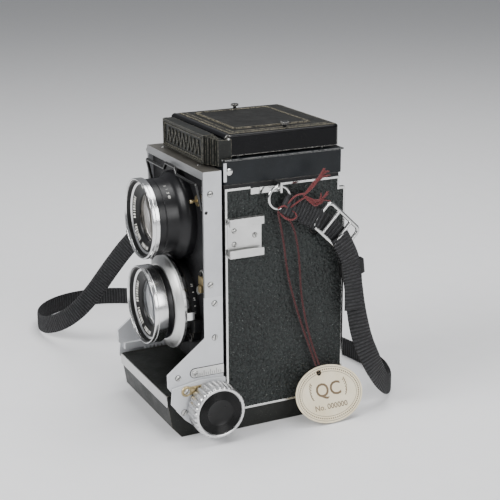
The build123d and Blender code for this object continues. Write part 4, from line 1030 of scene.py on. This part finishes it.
def recess(x, y, z, r, side=1):
    """A thin dark disc under a slotted screw head: painted shade that shows in the slot and round the head."""
    return small_turned((x, y, z), "X", [(0, 0), (r, 0), (r, side * 0.12), (0, side * 0.12)], 32)


SCREW_SEATS = ((-43, 138, 0.1), (-43.5, 87.8, 0.5), (-41.3, 77.0, 0.8), (-41.4, 57.3, 1.5),
               (-63.6, 37.4, 0.6))
# Dark discs under the frame screw heads: painted shade in their slots and round them.
frame_screws, slot_shade = [], []
for y, z, turn in SCREW_SEATS:
    for side in (1, -1):
        frame_screws += slotted_x(side * 39.9, y, z, 1.6, turn, side)
        slot_shade.append(recess(side * 39.9, y, z, 1.75, side))
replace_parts(joined("frame_screws", frame_screws, STEEL, "standard"), "standard_screws")
joined("screw_slot_shade", slot_shade, DARK_INK_AND_SHADE, "standard")
# Dark discs under the body screw heads: painted shade in their slots and round them.
body_heads, body_slot_shade = [], []
for y, z, turn in ((-29.8, 116.4, 0.4), (-29.8, 109.0, 1.1), (-17.5, 112.8, 2.0)):
    body_heads += slotted_x(41.2, y, z, 1.35, turn)
    body_slot_shade.append(recess(41.2, y, z, 1.5))
for side in (1, -1):
    body_heads += slotted_x(side * 41.6, -61, 17.3, 1.7, 0.9, side)
    body_slot_shade.append(recess(side * 41.6, -61, 17.3, 1.85, side))
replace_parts(joined("body_screw_heads", body_heads, STEEL, "body"), "body_screws")
joined("body_screw_slot_shade", body_slot_shade, DARK_INK_AND_SHADE, "body")

# Nameplate: raised zigzag ornament instead of a name, in a thin frame
ornament = []
for k in range(9):
    x0 = -22.5 + 5 * k
    ornament += [[(x0, 155.0), (x0 + 2.5, 163.2)], [(x0 + 2.5, 163.2), (x0 + 5, 155.0)]]


def raised_line(a, b, width, y_back, y_front):
    """A bar on the nameplate's panel between two (x, z) points."""
    along = Vector((b[0] - a[0], b[1] - a[1])).normalized()
    out = Vector((-along.y, along.x)) * width / 2
    corners = [(a[0] + out.x, a[1] + out.y), (a[0] - out.x, a[1] - out.y), (b[0] - out.x, b[1] - out.y),
               (b[0] + out.x, b[1] + out.y)]
    verts = [Vector((x, y_back, z)) * MM for x, z in corners]
    verts += [Vector((x * 0.999, y_front, z)) * MM for x, z in corners]
    return mesh_from(verts, [(4, 5, 6, 7), (0, 4, 7, 3), (1, 2, 6, 5), (0, 1, 5, 4), (3, 7, 6, 2)],
                     smooth=False)


plate_bits = [raised_line(a, b, 1.0, -40.8, -41.35) for a, b in ornament]
frame_line = [(-25.6, 153.6), (25.6, 153.6), (25.6, 164.9), (-25.6, 164.9), (-25.6, 153.6)]
plate_bits += [raised_line(a, b, 0.5, -40.8, -41.3) for a, b in zip(frame_line, frame_line[1:])]
joined("nameplate_ornament", plate_bits, BLACK_CRINKLE, "body")

# Knob faces: black recessed disc with fine turned rings round a smooth centre
disc = [(0, 0.0), (7.0, 0.0), (7.3, 0.25)]
for k in range(9):
    disc += [(7.6 + 0.55 * k, 0.3), (7.85 + 0.55 * k, 0.08)]
disc += [(12.6, 0.3), (12.7, -0.4), (0, -0.4)]


def flutes(angle, radius):
    """Deep rounded flutes round the outer part of a knob."""
    if radius < 14.6:
        return radius
    wave = abs(math.sin(angle * 15))
    return radius - 1.0 * (1 - wave) ** 1.5


knob_ring = [(3.05, 42.5), (11.0, 42.5), (14.0, 42.7), (14.7, 43.3), (15.1, 44.0), (15.3, 45.0), (15.3, 52.6),
             (15.15, 53.6), (14.75, 54.4), (14.3, 54.8), (13.8, 55.0), (13.2, 54.95), (12.85, 54.7),
             (12.8, 53.9),
             (3.05, 53.9)]
KNOB_NAMES = ((1, "left"), (-1, "right"))
SHAFT = (-45, 19)
for side, name in KNOB_NAMES:
    outline = [(r, side * t) for r, t in knob_ring]
    ring = joined("focus_knob_ring_" + name, [lathe((0, *SHAFT), "X", outline, 300, flutes)], ALUMINIUM,
                  "focus")
    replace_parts(ring, "focus_knob_" + name)
for side, name in KNOB_NAMES:
    joined("knob_disc_" + name, [lathe((side * 53.95, *SHAFT), "X", [(r, side * t) for r, t in disc], 96)],
           PLASTIC, "focus")
joined("advance_disc", [lathe((-53.2, 19.8, 111.5), "X", [(r * 0.82, -t) for r, t in disc], 96)], PLASTIC,
       "takeup")

# Distance scale marks on its plate
scale_bits = []
for k in range(12):
    y = -52.0 + 1.25 * k
    tall = 3.0 if k % 3 == 0 else 1.6
    corners = ((-0.1, 0), (0.1, 0), (0.1, tall), (-0.1, tall))
    verts = [Vector((40.34, y + dy, 36.6 + dz)) * MM for dy, dz in corners]
    scale_bits.append(mesh_from(verts, [(0, 1, 2, 3)], smooth=False))
joined("distance_marks", scale_bits, DARK_INK_AND_SHADE, "standard")
joined("scale_border", [soft_box((39.9, -54.2, 35.7), (40.1, -36.4, 41.5), 0.08),
                        small_turned((39.9, -53.7, 38.6), "X", [(0, 0), (2.9, 0), (2.9, 0.2), (0, 0.2)])],
       DARK_INK_AND_SHADE, "standard")
joined("scale_screw", slotted_x(40.3, -53.7, 38.6, 1.5, 0.5), STEEL, "standard")
index_end = [(0, 0), (3.0, 0), (3.1, 0.3), (2.8, 0.75), (0, 0.75)]
joined("focus_index", [soft_box((41.55, -61.5, 27.2), (42.3, -47.0, 32.0), 0.25),
                       small_turned((41.6, -59.5, 29.6), "X", index_end)], BRASS, "body")
joined("index_screw", slotted_x(42.3, -59.5, 29.6, 1.7, 0.7), STEEL, "body")

# ---------------------------------------------------------------- bellows
def bellows_mesh(folds=9):
    """A closed pleated tube between the lens board and the body front."""
    y0, y1 = -41.95, -35.1
    rows = []
    for k in range(2 * folds + 1):
        inset = 0.0 if k % 2 else 1.9
        rows.append((y0 + (y1 - y0) * k / (2 * folds), inset))
    half_x, z0, z1, corner = 33.3, 35.3, 141.0, 3.0
    verts = []

    def loop(y, inset, thick):
        points = []
        high, low = z1 - corner, z0 + corner
        for way, cz, start in ((1, high, 0), (-1, high, 90), (-1, low, 180), (1, low, 270)):
            cx = way * (half_x - corner)
            for step in range(5):
                a = math.radians(start + 22.5 * step)
                r = corner - inset - thick
                points.append(Vector((cx + r * math.cos(a), y, cz + r * math.sin(a))) * MM)
        return points

    loops = [loop(y, inset, 0) for y, inset in rows] + [loop(y, inset, 0.5) for y, inset in reversed(rows)]
    for ring in loops:
        verts += ring
    return mesh_from(verts, grid_faces(len(loops), len(loops[0])), smooth=False)


pleats = bellows_mesh()
pleats.materials.append(BELLOWS)
bellows = bpy.data.objects.new("bellows_pleats", pleats)
bpy.context.collection.objects.link(bellows)
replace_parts(bellows, "bellows")
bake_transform(bellows)

# ---------------------------------------------------------------- floor
floor_mesh = mesh_from([(-6, -6, 0), (6, -6, 0), (6, 6, 0), (-6, 6, 0)], [(0, 1, 2, 3)], smooth=False)
floor = bpy.data.objects.new("floor", floor_mesh)
bpy.context.collection.objects.link(floor)
floor_mesh.materials.append(paint("floor", (0.9, 0.9, 0.91), 0.55, 0.01, 300, 0.02))
floor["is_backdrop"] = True

low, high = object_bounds()
